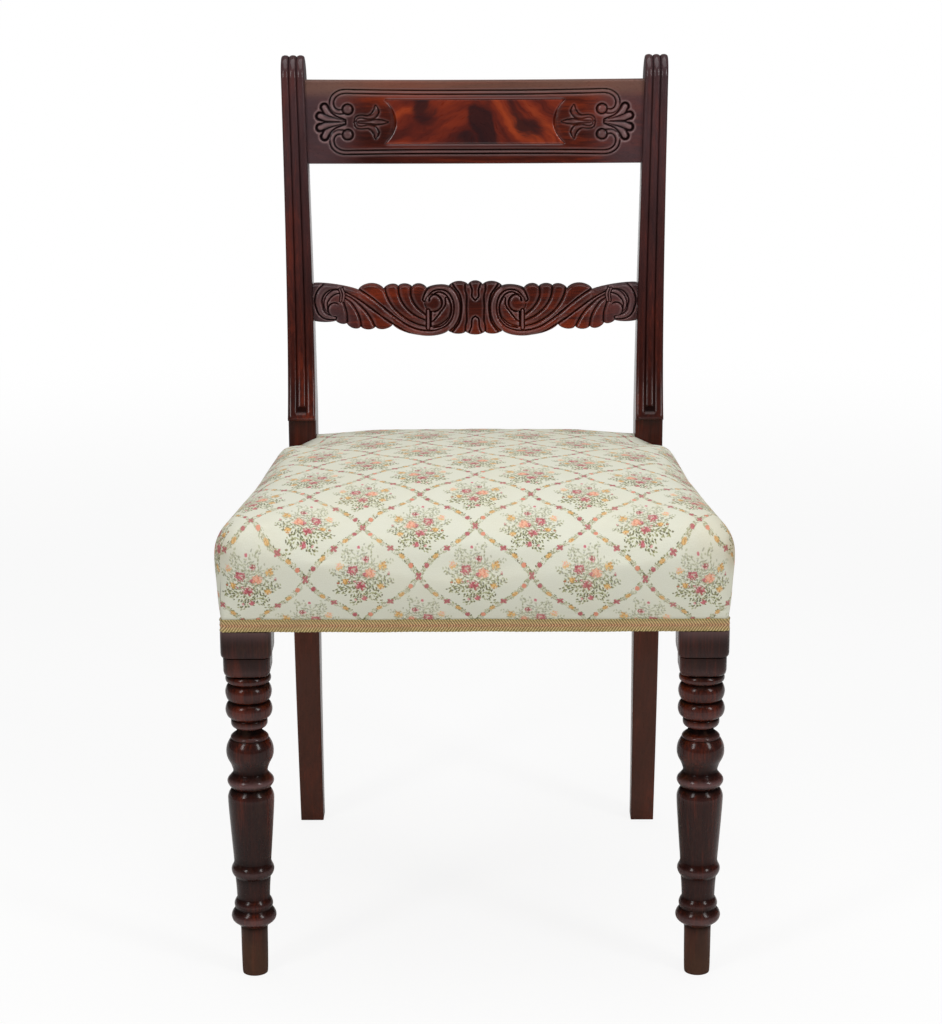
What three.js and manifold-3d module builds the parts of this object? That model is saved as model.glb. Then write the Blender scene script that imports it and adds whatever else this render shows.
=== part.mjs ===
// A Regency side chair with reeded scroll-over back posts, a carved crest rail
// and mid rail, ring-turned front legs and a stuffed-over seat.
// Millimetres, Z up from the floor, X to the viewer's right, Y to the back.
// Y zero is the axis of the front legs until the whole chair is centred at the end.
import * as THREE from 'three';
import { mergeVertices } from 'three/addons/utils/BufferGeometryUtils.js';
import Module from 'manifold-3d';

const wasm = await Module();
wasm.setup();

// Fits
const clearance = 0.3; // glue line or fitting gap between two pieces that touch
const overrun = 2; // how far a cut runs past the face that it opens

// Seat frame
const seatFrameTop = 410;
const seatFrameHeight = 56.5;
const railThickness = 25;
const frameFrontHalf = 236.5; // outer half width at the front face
const frameRearHalf = 198.8; // outer half width where the side rails meet the posts
const railTenonThickness = 9;
const railTenonInset = 10; // shoulder above and below a seat rail tenon
const railTenonLength = 18;
const rearTenonLength = 12;
const rearRailInset = 13; // from the front face of the posts to the rear rail

// Front legs
const frontLegInset = 20.5; // from the outer face of the side rails to the axis of the leg
const legSquareHalf = 22.3; // the square top that the rails are tenoned into
const cornerEase = 7; // the outer corner is planed off under the cover
const turnedHeight = 306; // floor to the first square block
const turningRadius = 22.8; // the widest ring
const lowerBlockHalf = 22.4;
const lowerBlockHeight = 17.5;
const upperBlockHalf = 24.3;
const neckHeight = 1; // the line between the two square blocks
const blockCornerRadius = 10;
const turningSides = 14;

// Back posts, each one piece from the foot to the scroll
const overallHeight = 850;
const postInset = 13.5; // from the outer face of the side rails to the middle of the post
const postFlare = 6.9; // how far the top of a post leans outwards
const postFrontY = 372;
const postDepth = 46;
const footWidth = 25.2;
const postSeatWidth = 28.6;
const postNoseWidth = 29.2;
const postWaistWidth = 27.6;
const postTopWidth = 24;
const legSweepFront = 42;
const legSweepBack = 23;
const noseRise = 61; // above the top of the seat rails
const noseReach = 12;
const noseRound = 3;
const noseSweep = 18;
const rakeFront = 40;
const rakeBack = 33;
const scrollRadius = 24;
const reedDepth = 2.2;
const reedStartRise = 10; // plain band between the nose and the reeds

// Crest rail
const crestDrop = 25.4; // below the top of the scrolls
const crestHeight = 86;
const crestThickness = 20;
const crestSetback = 5;
const crestTenonInset = 13;
const railSag = 16; // how far the middle of the crest and mid rails is bowed back
const backTenonThickness = 9;
const backTenonLength = 16;
const tenonRoot = 8; // how deep a loose tenon shape starts inside its own rail

// Flame veneer tablet in the crest rail
const tabletDrop = 19.3; // below the top of the crest rail
const tabletHeight = 45.9;
const tabletHalf = 94.8;
const tabletEndHollow = 12;
const veneerThickness = 1;

// Carved mid rail
const midPlaceShare = 0.2232; // height of its foot between the nose and the top of the posts
const midHeight = 53.2;
const midThickness = 20;
const midSetback = 8;
const midTenonInset = 19;

// Corner blocks and their screws
const cornerBlockReach = 46;
const cornerBlockHeight = 40;
const cornerBlockDrop = 12; // below the top of the seat rails
const screwRadius = 2;
const screwHeadRadius = 4;
const screwHeadHeight = 2.4;
const screwHeadSink = 4;
const screwBite = 14; // depth of a screw in its rail
const screwSides = 8;

// Webbing and hessian
const webWidth = 50;
const webThickness = 1.5;
const webSpacingAcross = 95;
const webFirstY = 75;
const webSpacingAlong = 105;
const webEndInset = 4;
const webFlat = 28; // half length that stays level where two straps cross
const hessianThickness = 1;
const hessianInset = 6;

// Stuffing, cover and braid
const coverThickness = 1.4;
const coverLift = 1; // foot of the cover above the underside of the rails
const crownHeight = 67; // above the top of the rails
const edgeBulge = 12.4;
const coverCornerRadius = 4;
const crownCornerRadius = 32;
const rearCornerRadius = 6;
const braidLift = 0.5; // foot of the braid above the underside of the rails
const braidHeight = 12.5;
const braidThickness = 2;

// Curve shares of the posts
const legFrontPower = 1.8;
const legBackPower = 2.6;
const noseSweepShare = 0.13;
const rakeBackPower = 1.5;
const flarePower = 1.5;
const waistShare = 0.34; // height of the waist between the nose and the top
const scrollEndAngle = -Math.PI * 0.4;
const rakeStepPower = 1.4; // above one, the points of the rake lie closer near the nose

// Height up the turning and radius, as shares of turnedHeight and turningRadius
const turningShares = [
  [0, 0.5], [0.005, 0.55], [0.145, 0.57], [0.162, 0.575], [0.17, 0.72], [0.181, 0.89],
  [0.194, 0.956], [0.208, 0.91], [0.221, 0.78], [0.235, 0.822], [0.247, 0.78], [0.257, 0.695],
  [0.328, 0.75], [0.339, 0.86], [0.35, 0.906], [0.36, 0.89], [0.369, 0.83], [0.379, 0.785],
  [0.49, 0.895], [0.583, 0.974], [0.605, 0.947], [0.616, 0.877], [0.625, 0.79], [0.635, 0.904],
  [0.646, 0.98], [0.656, 0.96], [0.666, 0.85], [0.676, 0.735], [0.686, 0.725], [0.706, 0.818],
  [0.716, 0.897], [0.726, 0.952], [0.745, 1], [0.765, 0.956], [0.785, 0.807], [0.795, 0.72],
  [0.805, 0.6], [0.815, 0.535], [0.825, 0.56], [0.834, 0.72], [0.854, 0.825], [0.864, 0.917],
  [0.884, 0.982], [0.904, 0.914], [0.914, 0.85], [0.923, 0.906], [0.943, 0.969], [0.963, 0.9],
  [0.972, 0.88], [0.982, 0.943], [0.992, 0.943], [1, 0.9],
];

// Height and half width of the two square blocks, as shares of each block's own sizes
const blockShares = [
  [0, 0.83],
  [0.14, 0.96],
  [0.45, 1],
  [0.85, 0.98],
  [1, 0.9],
];
const upperBlockShares = [
  [0, 0.9],
  [0.12, 0.95],
  [0.45, 1],
  [1, 1],
];

// Scalloped edges of the mid rail: distance from the middle, height up the rail and the
// rise of the lobe that follows, as shares of the half length and the height
const midTopShares = [
  [0.046, 0.944, 0.082],
  [0.166, 0.92, 0.046],
  [0.303, 0.88, 0.077],
  [0.394, 0.907, 0.056],
  [0.48, 0.922, 0.067],
  [0.571, 0.87, 0.12],
  [0.728, 0.852, 0.041],
  [1, 0.991, 0],
];
const midTopMiddleShare = 0.081;
const midBottomShares = [
  [0.06, 0.045, -0.054],
  [0.17, 0.067, -0.161],
  [0.515, 0.196, -0.069],
  [0.623, 0.15, -0.056],
  [0.714, 0.159, -0.072],
  [0.801, 0.233, -0.04],
  [0.866, 0.28, -0.029],
  [1, 0.285, 0],
];
const midBottomMiddleShare = -0.06;
const midStepShare = 0.022; // between the points of an edge

// Seat shape from the bottom of the cover to the crown: size of the outline,
// bulge, height and corner rounding, each as a share
const seatRingShares = [
  [1, 0, 0, 0],
  [1, 0, 0.104, 0],
  [1, 0.5, 0.216, 0.25],
  [1, 0.88, 0.339, 0.6],
  [1, 1, 0.453, 0.85],
  [1, 0.86, 0.567, 1],
  [1, 0.5, 0.657, 1],
  [1, 0, 0.727, 1],
  [0.972, 0, 0.776, 1],
  [0.92, 0, 0.816, 1],
  [0.82, 0, 0.861, 1],
  [0.63, 0, 0.927, 1],
  [0.36, 0, 0.984, 1],
  [0.1, 0, 1, 1],
];
const skirtRingCount = 2; // rings at the foot of the cover, where it lies on bare wood
const rearBulgeShare = 0.35; // bulge left at the rear, where the seat is tucked in

// Values that follow from the sizes above
const seatFrameBottom = seatFrameTop - seatFrameHeight;
const frontLegX = frameFrontHalf - frontLegInset;
const lowerBlockTop = turnedHeight + lowerBlockHeight;
const upperBlockBottom = lowerBlockTop + neckHeight;
const coverBottom = seatFrameBottom + coverLift;
const crownTop = seatFrameTop + crownHeight;
const braidBottom = seatFrameBottom + braidLift;
const postX = frameRearHalf - postInset;
const frameFrontY = -legSquareHalf;
const postBackY = postFrontY + postDepth;
const rearRailFrontY = postFrontY + rearRailInset;
const frameRearY = rearRailFrontY + railThickness;
const sideSlope = (frameFrontHalf - frameRearHalf) / (postFrontY - frameFrontY);
const railRun = railThickness * Math.hypot(1, sideSlope); // rail thickness measured along X
const noseHeight = seatFrameTop + noseRise;
const backHeight = overallHeight - noseHeight;
const scrollZ = overallHeight - scrollRadius;
const crestTop = overallHeight - crestDrop;
const crestBottom = crestTop - crestHeight;
const tabletTop = crestTop - tabletDrop;
const tabletBottom = tabletTop - tabletHeight;
const midBottom = noseHeight + backHeight * midPlaceShare;
const midTop = midBottom + midHeight;
const coverOffset = clearance + coverThickness;
const seatFrontY = frameFrontY - coverOffset - edgeBulge;

const mahogany = { color: 0x4a1d14, roughness: 0.32, metalness: 0 };
const wornMahogany = { color: 0x43190f, roughness: 0.4, metalness: 0 };
const flameMahogany = { color: 0x7d2c12, roughness: 0.25, metalness: 0 };
const beech = { color: 0xa9835a, roughness: 0.7, metalness: 0 };
const steel = { color: 0x6b6862, roughness: 0.45, metalness: 0.9 };
const jute = { color: 0x9b7d52, roughness: 0.95, metalness: 0 };
const horsehair = { color: 0x3a2e25, roughness: 1, metalness: 0 };
const wovenSilk = { color: 0xdedcc8, roughness: 0.75, metalness: 0 };
const ochreBraid = { color: 0xb08440, roughness: 0.85, metalness: 0 };

// Linear reading between the [place, value] pairs of a table
function readBetween(table, place) {
  const next = Math.max(1, table.findIndex((pair) => pair[0] >= place));
  const last = place > table[table.length - 1][0] ? table.length - 1 : next;
  const [from, to] = [table[last - 1], table[last]];
  return THREE.MathUtils.mapLinear(place, from[0], to[0], from[1], to[1]);
}

// A BufferGeometry whose faces are turned outwards
function closedGeometry(points, faces) {
  const corner = faces.map((face) => face.map((index) => points[index]));
  const volume = corner.reduce((sum, [a, b, c]) => sum + a.dot(b.clone().cross(c)), 0);
  const turned = volume < 0 ? faces.map(([a, b, c]) => [a, c, b]) : faces;
  const geometry = new THREE.BufferGeometry();
  geometry.setFromPoints(points);
  geometry.setIndex(turned.flat());
  return geometry;
}

// Triangles that close a ring, seen along the axis that the rings are stacked on
function capFaces(ring, axis) {
  const [u, v] = { x: ['y', 'z'], y: ['z', 'x'], z: ['x', 'y'] }[axis];
  const outline = ring.map((point) => new THREE.Vector2(point[u], point[v]));
  const turn = Math.sign(THREE.ShapeUtils.area(outline));
  return THREE.ShapeUtils.triangulateShape(outline, []).map(([a, b, c]) => {
    const area = THREE.ShapeUtils.area([outline[a], outline[b], outline[c]]);
    return Math.sign(area) === turn ? [a, b, c] : [a, c, b];
  });
}

// The faces between the rings of a stack, which have equally many points
function sideFaces(rings) {
  const count = rings[0].length;
  const faces = [];
  for (let ring = 0; ring + 1 < rings.length; ring += 1) {
    for (let i = 0; i < count; i += 1) {
      const a = ring * count + i;
      const b = ring * count + ((i + 1) % count);
      faces.push([a, b, a + count], [b, b + count, a + count]);
    }
  }
  return faces;
}

// A closed body through a stack of rings, with the faces that close its two ends
function closedStack(rings, firstCap, lastCap) {
  const start = (rings.length - 1) * rings[0].length;
  const first = firstCap.map(([a, b, c]) => [a, c, b]);
  const last = lastCap.map((face) => face.map((index) => index + start));
  return closedGeometry(rings.flat(), [...sideFaces(rings), ...first, ...last]);
}

// The same for rings that lie square to an axis
function loft(rings, axis) {
  return closedStack(rings, capFaces(rings[0], axis), capFaces(rings[rings.length - 1], axis));
}

// The same for a board, whose rings run along one face and return along the other
function boardLoft(rings) {
  const last = rings[0].length - 1;
  const cap = rings[0].slice(1, rings[0].length / 2).flatMap((_, i) => [
    [i, i + 1, last - i - 1],
    [i, last - i - 1, last - i],
  ]);
  return closedStack(rings, cap, cap);
}

// The same for rings with straight edges of several points, closed round a middle point
function fannedLoft(rings) {
  const count = rings[0].length;
  const points = rings.flat();
  const faces = sideFaces(rings);
  [0, rings.length - 1].forEach((which) => {
    const middle = points.length;
    const sum = rings[which].reduce((total, point) => total.add(point), new THREE.Vector3());
    points.push(sum.divideScalar(count));
    rings[which].forEach((_, i) => {
      const [a, b] = [which * count + i, which * count + ((i + 1) % count)];
      faces.push(which ? [a, b, middle] : [b, a, middle]);
    });
  });
  return closedGeometry(points, faces);
}

// An upright prism over an outline of [x, y] corners
function prism(outline, bottom, top) {
  const shape = new THREE.Shape(outline.map(([x, y]) => new THREE.Vector2(x, y)));
  const geometry = new THREE.ExtrudeGeometry(shape, { depth: top - bottom, bevelEnabled: false });
  return geometry.translate(0, 0, bottom);
}

function block([x0, x1], [y0, y1], [z0, z1]) {
  const geometry = new THREE.BoxGeometry(x1 - x0, y1 - y0, z1 - z0);
  return geometry.translate((x0 + x1) / 2, (y0 + y1) / 2, (z0 + z1) / 2);
}

function solidOf(geometry) {
  const bare = geometry.clone();
  bare.deleteAttribute('normal');
  bare.deleteAttribute('uv');
  const merged = mergeVertices(bare);
  return new wasm.Manifold(new wasm.Mesh({
    numProp: 3,
    vertProperties: new Float32Array(merged.attributes.position.array),
    triVerts: new Uint32Array(merged.index.array),
  }));
}

function geometryOf(solid) {
  const mesh = solid.getMesh();
  const geometry = new THREE.BufferGeometry();
  geometry.setAttribute('position', new THREE.BufferAttribute(mesh.vertProperties, 3));
  geometry.setIndex(new THREE.BufferAttribute(mesh.triVerts, 1));
  return geometry;
}

function join(...geometries) {
  return geometries.map(solidOf).reduce((sum, next) => sum.add(next));
}

function cut(solid, ...geometries) {
  return geometries.map(solidOf).reduce((rest, tool) => rest.subtract(tool), solid);
}

// The same piece on the other side of the chair
function mirrored(geometry) {
  const copy = geometry.clone().scale(-1, 1, 1);
  const index = copy.index.array;
  for (let i = 0; i < index.length; i += 3) {
    [index[i], index[i + 1]] = [index[i + 1], index[i]];
  }
  return copy;
}

const chair = new THREE.Group();

function addPiece(name, geometry, finish) {
  const mesh = new THREE.Mesh(geometry, new THREE.MeshStandardMaterial(finish));
  mesh.name = name;
  chair.add(mesh);
}

function addPair(name, geometry, finish) {
  addPiece(`right_${name}`, geometry, finish);
  addPiece(`left_${name}`, mirrored(geometry), finish);
}

// Side view of a back post: sabre leg, upright at the seat, nose, rake and scroll
function postFrontAt(z) {
  if (z < seatFrameBottom) {
    return postFrontY + legSweepFront * (1 - z / seatFrameBottom) ** legFrontPower;
  }
  const t = (z - noseHeight) / backHeight;
  const sweep = noseSweep * (1 - Math.exp(-t / noseSweepShare));
  return t < 0 ? postFrontY : postFrontY - noseReach + sweep + rakeFront * t;
}

function postBackAt(z) {
  if (z < seatFrameBottom) {
    return postBackY + legSweepBack * (1 - z / seatFrameBottom) ** legBackPower;
  }
  const t = Math.max(0, (z - noseHeight) / backHeight);
  return postBackY + rakeBack * t ** rakeBackPower;
}

function postWidthAt(z) {
  return readBetween([
    [0, footWidth],
    [seatFrameBottom, postSeatWidth],
    [noseHeight, postNoseWidth],
    [noseHeight + backHeight * waistShare, postWaistWidth],
    [overallHeight, postTopWidth],
  ], z);
}

function postCentreAt(z) {
  return postX + postFlare * Math.max(0, (z - noseHeight) / backHeight) ** flarePower;
}

function postInnerAt(z) {
  return postCentreAt(z) - postWidthAt(z) / 2;
}

// Outline of the post from the side, with the direction in which each point is carved
// to leave the reeds standing
function postOutline() {
  const points = [];
  const plain = (y, z) => points.push({ y, z, inY: 0, inZ: 0 });
  const legSteps = 8;
  for (let i = 0; i <= legSteps; i += 1) {
    const z = (seatFrameBottom * i) / legSteps;
    plain(postFrontAt(z), z);
  }
  plain(postFrontY, noseHeight);
  plain(postFrontY - noseReach + noseRound, noseHeight);
  plain(postFrontAt(noseHeight + noseRound), noseHeight + noseRound);
  const reedStart = noseHeight + reedStartRise;
  plain(postFrontAt(reedStart), reedStart);
  const backSteps = 12;
  for (let i = 0; i < backSteps; i += 1) {
    const up = (i / backSteps) ** rakeStepPower;
    const z = THREE.MathUtils.lerp(reedStart + noseRound, scrollZ, up);
    points.push({ y: postFrontAt(z), z, inY: 1, inZ: 0 });
  }
  const scrollY = postFrontAt(scrollZ) + scrollRadius;
  const scrollSteps = 14;
  for (let i = 0; i <= scrollSteps; i += 1) {
    const angle = THREE.MathUtils.lerp(Math.PI, scrollEndAngle, i / scrollSteps);
    const [inY, inZ] = [-Math.cos(angle), -Math.sin(angle)];
    points.push({ y: scrollY - scrollRadius * inY, z: scrollZ - scrollRadius * inZ, inY, inZ });
  }
  const scrollBottom = points[points.length - 1].z - noseRound;
  const rearSteps = 8;
  for (let i = 0; i <= rearSteps; i += 1) {
    const z = THREE.MathUtils.lerp(scrollBottom, noseHeight, i / rearSteps);
    plain(postBackAt(z), z);
  }
  for (let i = legSteps; i >= 0; i -= 1) {
    const z = (seatFrameBottom * i) / legSteps;
    plain(postBackAt(z), z);
  }
  return points;
}

// Three reeds across the width, from minus one to one, and how deep each line lies
function reedLines() {
  const lineShares = [-1, -0.6, 0, 0.6];
  const lines = [-1, 0, 1].flatMap((reed) => lineShares.map((share) => ({
    across: (2 * reed + share) / 3,
    depth: 1 - Math.sqrt(1 - share ** 2),
  })));
  return [...lines, { across: 1, depth: 1 }];
}

function backPost() {
  const outline = postOutline();
  const rings = reedLines().map(({ across, depth }) => outline.map((point) => new THREE.Vector3(
    postCentreAt(point.z) + (across * postWidthAt(point.z)) / 2,
    point.y + point.inY * depth * reedDepth,
    point.z + point.inZ * depth * reedDepth,
  )));
  return geometryOf(cut(
    solidOf(loft(rings, 'x')),
    backTenon(crestTenonPlace, clearance),
    backTenon(midTenonPlace, clearance),
    sideRailTenon(postFrontY, railTenonLength, clearance),
    rearRailTenon(clearance),
  ));
}

// A board bowed back between the posts, which follows their rake. The edges are
// functions of the place along the board, from minus one to one.
function bowedBoard({ stations, rows, bottomAt, topAt, setback, thickness }) {
  const rings = stations.map((share) => {
    const bow = setback + railSag * (1 - share ** 2);
    const line = (depth) => Array.from({ length: rows + 1 }, (_, row) => {
      const z = THREE.MathUtils.lerp(bottomAt(share), topAt(share), row / rows);
      const x = share * (postInnerAt(z) - clearance);
      return new THREE.Vector3(x, postFrontAt(z) + bow + depth, z);
    });
    return [...line(0), ...line(thickness).reverse()];
  });
  return boardLoft(rings);
}

const crestTenonPlace = {
  bottom: crestBottom + crestTenonInset,
  top: crestTop - crestTenonInset,
  inset: crestSetback + (crestThickness - backTenonThickness) / 2,
};
const midTenonPlace = {
  bottom: midBottom + midTenonInset,
  top: midTop - midTenonInset / 2,
  inset: midSetback + (midThickness - backTenonThickness) / 2,
};

// Tenon of a back rail in the right post, or with grow its mortise
function backTenon({ bottom, top, inset }, grow) {
  const middle = postInnerAt((bottom + top) / 2);
  const rings = [middle - tenonRoot, middle + backTenonLength + grow].map((x) => {
    const line = (depth) => [bottom - grow, (bottom + top) / 2, top + grow].map((z) => (
      new THREE.Vector3(x, postFrontAt(z) + inset + depth, z)
    ));
    return [...line(-grow), ...line(backTenonThickness + grow).reverse()];
  });
  return boardLoft(rings);
}

function evenStations(steps) {
  return Array.from({ length: steps + 1 }, (_, i) => (2 * i) / steps - 1);
}

// The tablet or, with grow and depth, the recess that it lies in
function tablet(grow, front, back) {
  const middle = (tabletBottom + tabletTop) / 2;
  const halfHeight = (tabletTop - tabletBottom) / 2;
  const rows = 6;
  const rings = evenStations(16).map((share) => {
    const line = (depth) => Array.from({ length: rows + 1 }, (_, row) => {
      const z = middle + ((2 * row) / rows - 1) * (halfHeight + grow);
      const up = (z - middle) / halfHeight;
      const x = share * (tabletHalf - tabletEndHollow * (1 - up ** 2) + grow);
      const bow = crestSetback + railSag * (1 - (x / postInnerAt(z)) ** 2);
      return new THREE.Vector3(x, postFrontAt(z) + bow + depth, z);
    });
    return [...line(front), ...line(back).reverse()];
  });
  return boardLoft(rings);
}

function crestRail() {
  const board = bowedBoard({
    stations: evenStations(20),
    rows: 4,
    bottomAt: () => crestBottom,
    topAt: () => crestTop,
    setback: crestSetback,
    thickness: crestThickness,
  });
  const tenon = backTenon(crestTenonPlace, 0);
  const recess = tablet(clearance, -overrun, veneerThickness + clearance);
  return geometryOf(cut(join(board, tenon, mirrored(tenon)), recess));
}

// Height of a scalloped edge at a place along the mid rail
function scallopAt(shares, middleShare, place) {
  const first = [-shares[0][0], shares[0][1], middleShare];
  const knots = [first, ...shares];
  const distance = Math.abs(place);
  const next = Math.max(1, knots.findIndex((knot) => knot[0] >= distance));
  const [from, to] = [knots[next - 1], knots[next]];
  const t = (distance - from[0]) / (to[0] - from[0]);
  const share = THREE.MathUtils.lerp(from[1], to[1], t) + 4 * from[2] * t * (1 - t);
  return THREE.MathUtils.lerp(midBottom, midTop, share);
}

// Places along the mid rail: every cusp of both edges and points between them
function midStations() {
  const cusps = [...midTopShares, ...midBottomShares].map((knot) => knot[0]);
  const half = [...new Set([0, ...cusps])].sort((a, b) => a - b);
  const fine = half.slice(1).flatMap((to, i) => {
    const from = half[i];
    const steps = Math.max(1, Math.round((to - from) / midStepShare));
    return Array.from({ length: steps }, (_, step) => from + ((to - from) * (step + 1)) / steps);
  });
  return [...fine.map((share) => -share).reverse(), 0, ...fine];
}

function carvedMidRail() {
  const board = bowedBoard({
    stations: midStations(),
    rows: 1,
    bottomAt: (place) => scallopAt(midBottomShares, midBottomMiddleShare, place),
    topAt: (place) => scallopAt(midTopShares, midTopMiddleShare, place),
    setback: midSetback,
    thickness: midThickness,
  });
  const tenon = backTenon(midTenonPlace, 0);
  return geometryOf(join(board, tenon, mirrored(tenon)));
}

// Outer face of the right side rail, and its inner face
function sideOuterAt(y) {
  return frameFrontHalf - (y - frameFrontY) * sideSlope;
}

function sideInnerAt(y) {
  return sideOuterAt(y) - railRun;
}

function tenonHeights(grow) {
  return [seatFrameBottom + railTenonInset - grow, seatFrameTop - railTenonInset + grow];
}

// Tenon of a side rail from y in the given direction, or with grow its mortise
function sideRailTenon(y, reach, grow) {
  const along = Math.sign(reach);
  const ends = [y - along * tenonRoot, y + reach + along * grow];
  const middleAt = (place) => (sideOuterAt(place) + sideInnerAt(place)) / 2;
  const half = railTenonThickness / 2 + grow;
  return prism([
    [middleAt(ends[0]) - half, ends[0]],
    [middleAt(ends[0]) + half, ends[0]],
    [middleAt(ends[1]) + half, ends[1]],
    [middleAt(ends[1]) - half, ends[1]],
  ], ...tenonHeights(grow));
}

function sideRail() {
  const [start, end] = [legSquareHalf + clearance, postFrontY - clearance];
  const board = prism([
    [sideOuterAt(start), start],
    [sideOuterAt(end), end],
    [sideInnerAt(end), end],
    [sideInnerAt(start), start],
  ], seatFrameBottom, seatFrameTop);
  const frontTenon = sideRailTenon(legSquareHalf, -railTenonLength, 0);
  const rearTenon = sideRailTenon(postFrontY, railTenonLength, 0);
  return join(board, frontTenon, rearTenon);
}

// Tenon of the front rail in the right leg, or with grow its mortise
function frontRailTenon(grow) {
  const x = frontLegX - legSquareHalf;
  const middle = frameFrontY + railThickness / 2;
  const half = railTenonThickness / 2 + grow;
  const across = [x - tenonRoot, x + railTenonLength + grow];
  return block(across, [middle - half, middle + half], tenonHeights(grow));
}

function frontRail() {
  const half = frontLegX - legSquareHalf - clearance;
  const depth = [frameFrontY, frameFrontY + railThickness];
  const board = block([-half, half], depth, [seatFrameBottom, seatFrameTop]);
  const tenon = frontRailTenon(0);
  return join(board, tenon, mirrored(tenon));
}

// Tenon of the rear rail in the right post, or with grow its mortise
function rearRailTenon(grow) {
  const x = postInnerAt(seatFrameTop);
  const middle = rearRailFrontY + railThickness / 2;
  const half = railTenonThickness / 2 + grow;
  const across = [x - tenonRoot, x + rearTenonLength + grow];
  return block(across, [middle - half, middle + half], tenonHeights(grow));
}

function rearRail() {
  const half = postInnerAt(seatFrameTop) - clearance;
  const depth = [rearRailFrontY, frameRearY];
  const board = block([-half, half], depth, [seatFrameBottom, seatFrameTop]);
  const tenon = rearRailTenon(0);
  return join(board, tenon, mirrored(tenon));
}

// A square ring with rounded corners, around the axis of the right front leg
function roundedSquare(half, radius, z) {
  const flat = half - radius;
  const cornerAngleShares = [0, 0.33, 0.67, 1];
  return [0, 1, 2, 3].flatMap((corner) => cornerAngleShares.map((share) => {
    const angle = ((corner + share) * Math.PI) / 2;
    const middle = ((corner + 0.5) * Math.PI) / 2;
    const x = Math.sign(Math.cos(middle)) * flat + radius * Math.cos(angle);
    const y = Math.sign(Math.sin(middle)) * flat + radius * Math.sin(angle);
    return new THREE.Vector3(frontLegX + x, y, z);
  }));
}

function squareBlock(shares, half, radius, bottom, top) {
  return loft(shares.map(([height, width]) => roundedSquare(
    half * width,
    radius,
    THREE.MathUtils.lerp(bottom, top, height),
  )), 'z');
}

function frontLeg() {
  const profile = turningShares.map(([height, radius]) => (
    new THREE.Vector2(radius * turningRadius, height * turnedHeight)
  ));
  const axisEnds = [new THREE.Vector2(0, 0), new THREE.Vector2(0, turnedHeight)];
  const turning = new THREE.LatheGeometry([axisEnds[0], ...profile, axisEnds[1]], turningSides);
  turning.rotateX(Math.PI / 2).translate(frontLegX, 0, 0);
  const lower = squareBlock(
    blockShares,
    lowerBlockHalf,
    blockCornerRadius,
    turnedHeight - clearance,
    lowerBlockTop,
  );
  const neckHalf = lowerBlockHalf * blockShares[0][1];
  const necks = [[0, 1], [1, 1]];
  const neck = squareBlock(
    necks,
    neckHalf,
    blockCornerRadius,
    lowerBlockTop - clearance,
    upperBlockBottom + clearance,
  );
  const upper = squareBlock(
    upperBlockShares,
    upperBlockHalf,
    blockCornerRadius,
    upperBlockBottom,
    seatFrameBottom,
  );
  const inner = frontLegX - legSquareHalf;
  const eased = frameFrontY + cornerEase;
  const square = prism([
    [inner, frameFrontY],
    [sideOuterAt(frameFrontY) - cornerEase, frameFrontY],
    [sideOuterAt(eased), eased],
    [sideOuterAt(legSquareHalf), legSquareHalf],
    [inner, legSquareHalf],
  ], seatFrameBottom - clearance, seatFrameTop);
  return geometryOf(cut(
    join(turning, lower, neck, upper, square),
    frontRailTenon(clearance),
    sideRailTenon(legSquareHalf, -railTenonLength, clearance),
  ));
}

// The corners that are blocked: the inner side and the face of the leg or post, the
// inner face of the front or rear rail, and the way the block runs along the side rail
const blockedCorners = [
  {
    name: 'front',
    squareX: frontLegX - legSquareHalf,
    squareY: legSquareHalf,
    railY: frameFrontY + railThickness,
    toward: 1,
  },
  {
    name: 'rear',
    squareX: postInnerAt(seatFrameTop),
    squareY: postFrontY,
    railY: rearRailFrontY,
    toward: -1,
  },
];

const cornerBlockTop = seatFrameTop - cornerBlockDrop;
const cornerBlockBottom = cornerBlockTop - cornerBlockHeight;

// Where the slanted face of a corner block meets the two rails
function slantEnds({ squareX, squareY, railY, toward }) {
  const sideY = squareY + toward * cornerBlockReach;
  return [
    new THREE.Vector2(squareX - cornerBlockReach, railY + toward * clearance),
    new THREE.Vector2(sideInnerAt(sideY) - clearance, sideY),
  ];
}

// Both screws of a corner: where the head sits, which way it points and its length
function screwPlaces(corner) {
  const [from, to] = slantEnds(corner);
  const z = (cornerBlockBottom + cornerBlockTop) / 2;
  const x = corner.squareX - cornerBlockReach / 2;
  const slantY = THREE.MathUtils.mapLinear(x, from.x, to.x, from.y, to.y);
  const headY = slantY - corner.toward * screwHeadSink;
  const y = corner.squareY + (corner.toward * cornerBlockReach) / 2;
  const headX = THREE.MathUtils.mapLinear(y, from.y, to.y, from.x, to.x) + screwHeadSink;
  return [
    {
      place: new THREE.Vector3(x, headY, z),
      way: new THREE.Vector3(0, -corner.toward, 0),
      length: Math.abs(headY - corner.railY) + screwBite,
    },
    {
      place: new THREE.Vector3(headX, y, z),
      way: new THREE.Vector3(1, 0, 0),
      length: sideInnerAt(y) - headX + screwBite,
    },
  ];
}

// A turned shape along a screw, from [radius, depth] pairs
function alongScrew(pairs, { place, way }, sides) {
  const profile = pairs.map(([radius, depth]) => new THREE.Vector2(radius, depth));
  const turn = new THREE.Quaternion().setFromUnitVectors(new THREE.Vector3(0, 1, 0), way);
  const geometry = new THREE.LatheGeometry(profile, sides).applyQuaternion(turn);
  return geometry.translate(place.x, place.y, place.z);
}

function woodScrew(screw) {
  return alongScrew([
    [0, 0],
    [screwHeadRadius, 0],
    [screwRadius, screwHeadHeight],
    [screwRadius, screwHeadHeight + screwBite],
    [0, screw.length],
  ], screw, screwSides);
}

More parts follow.
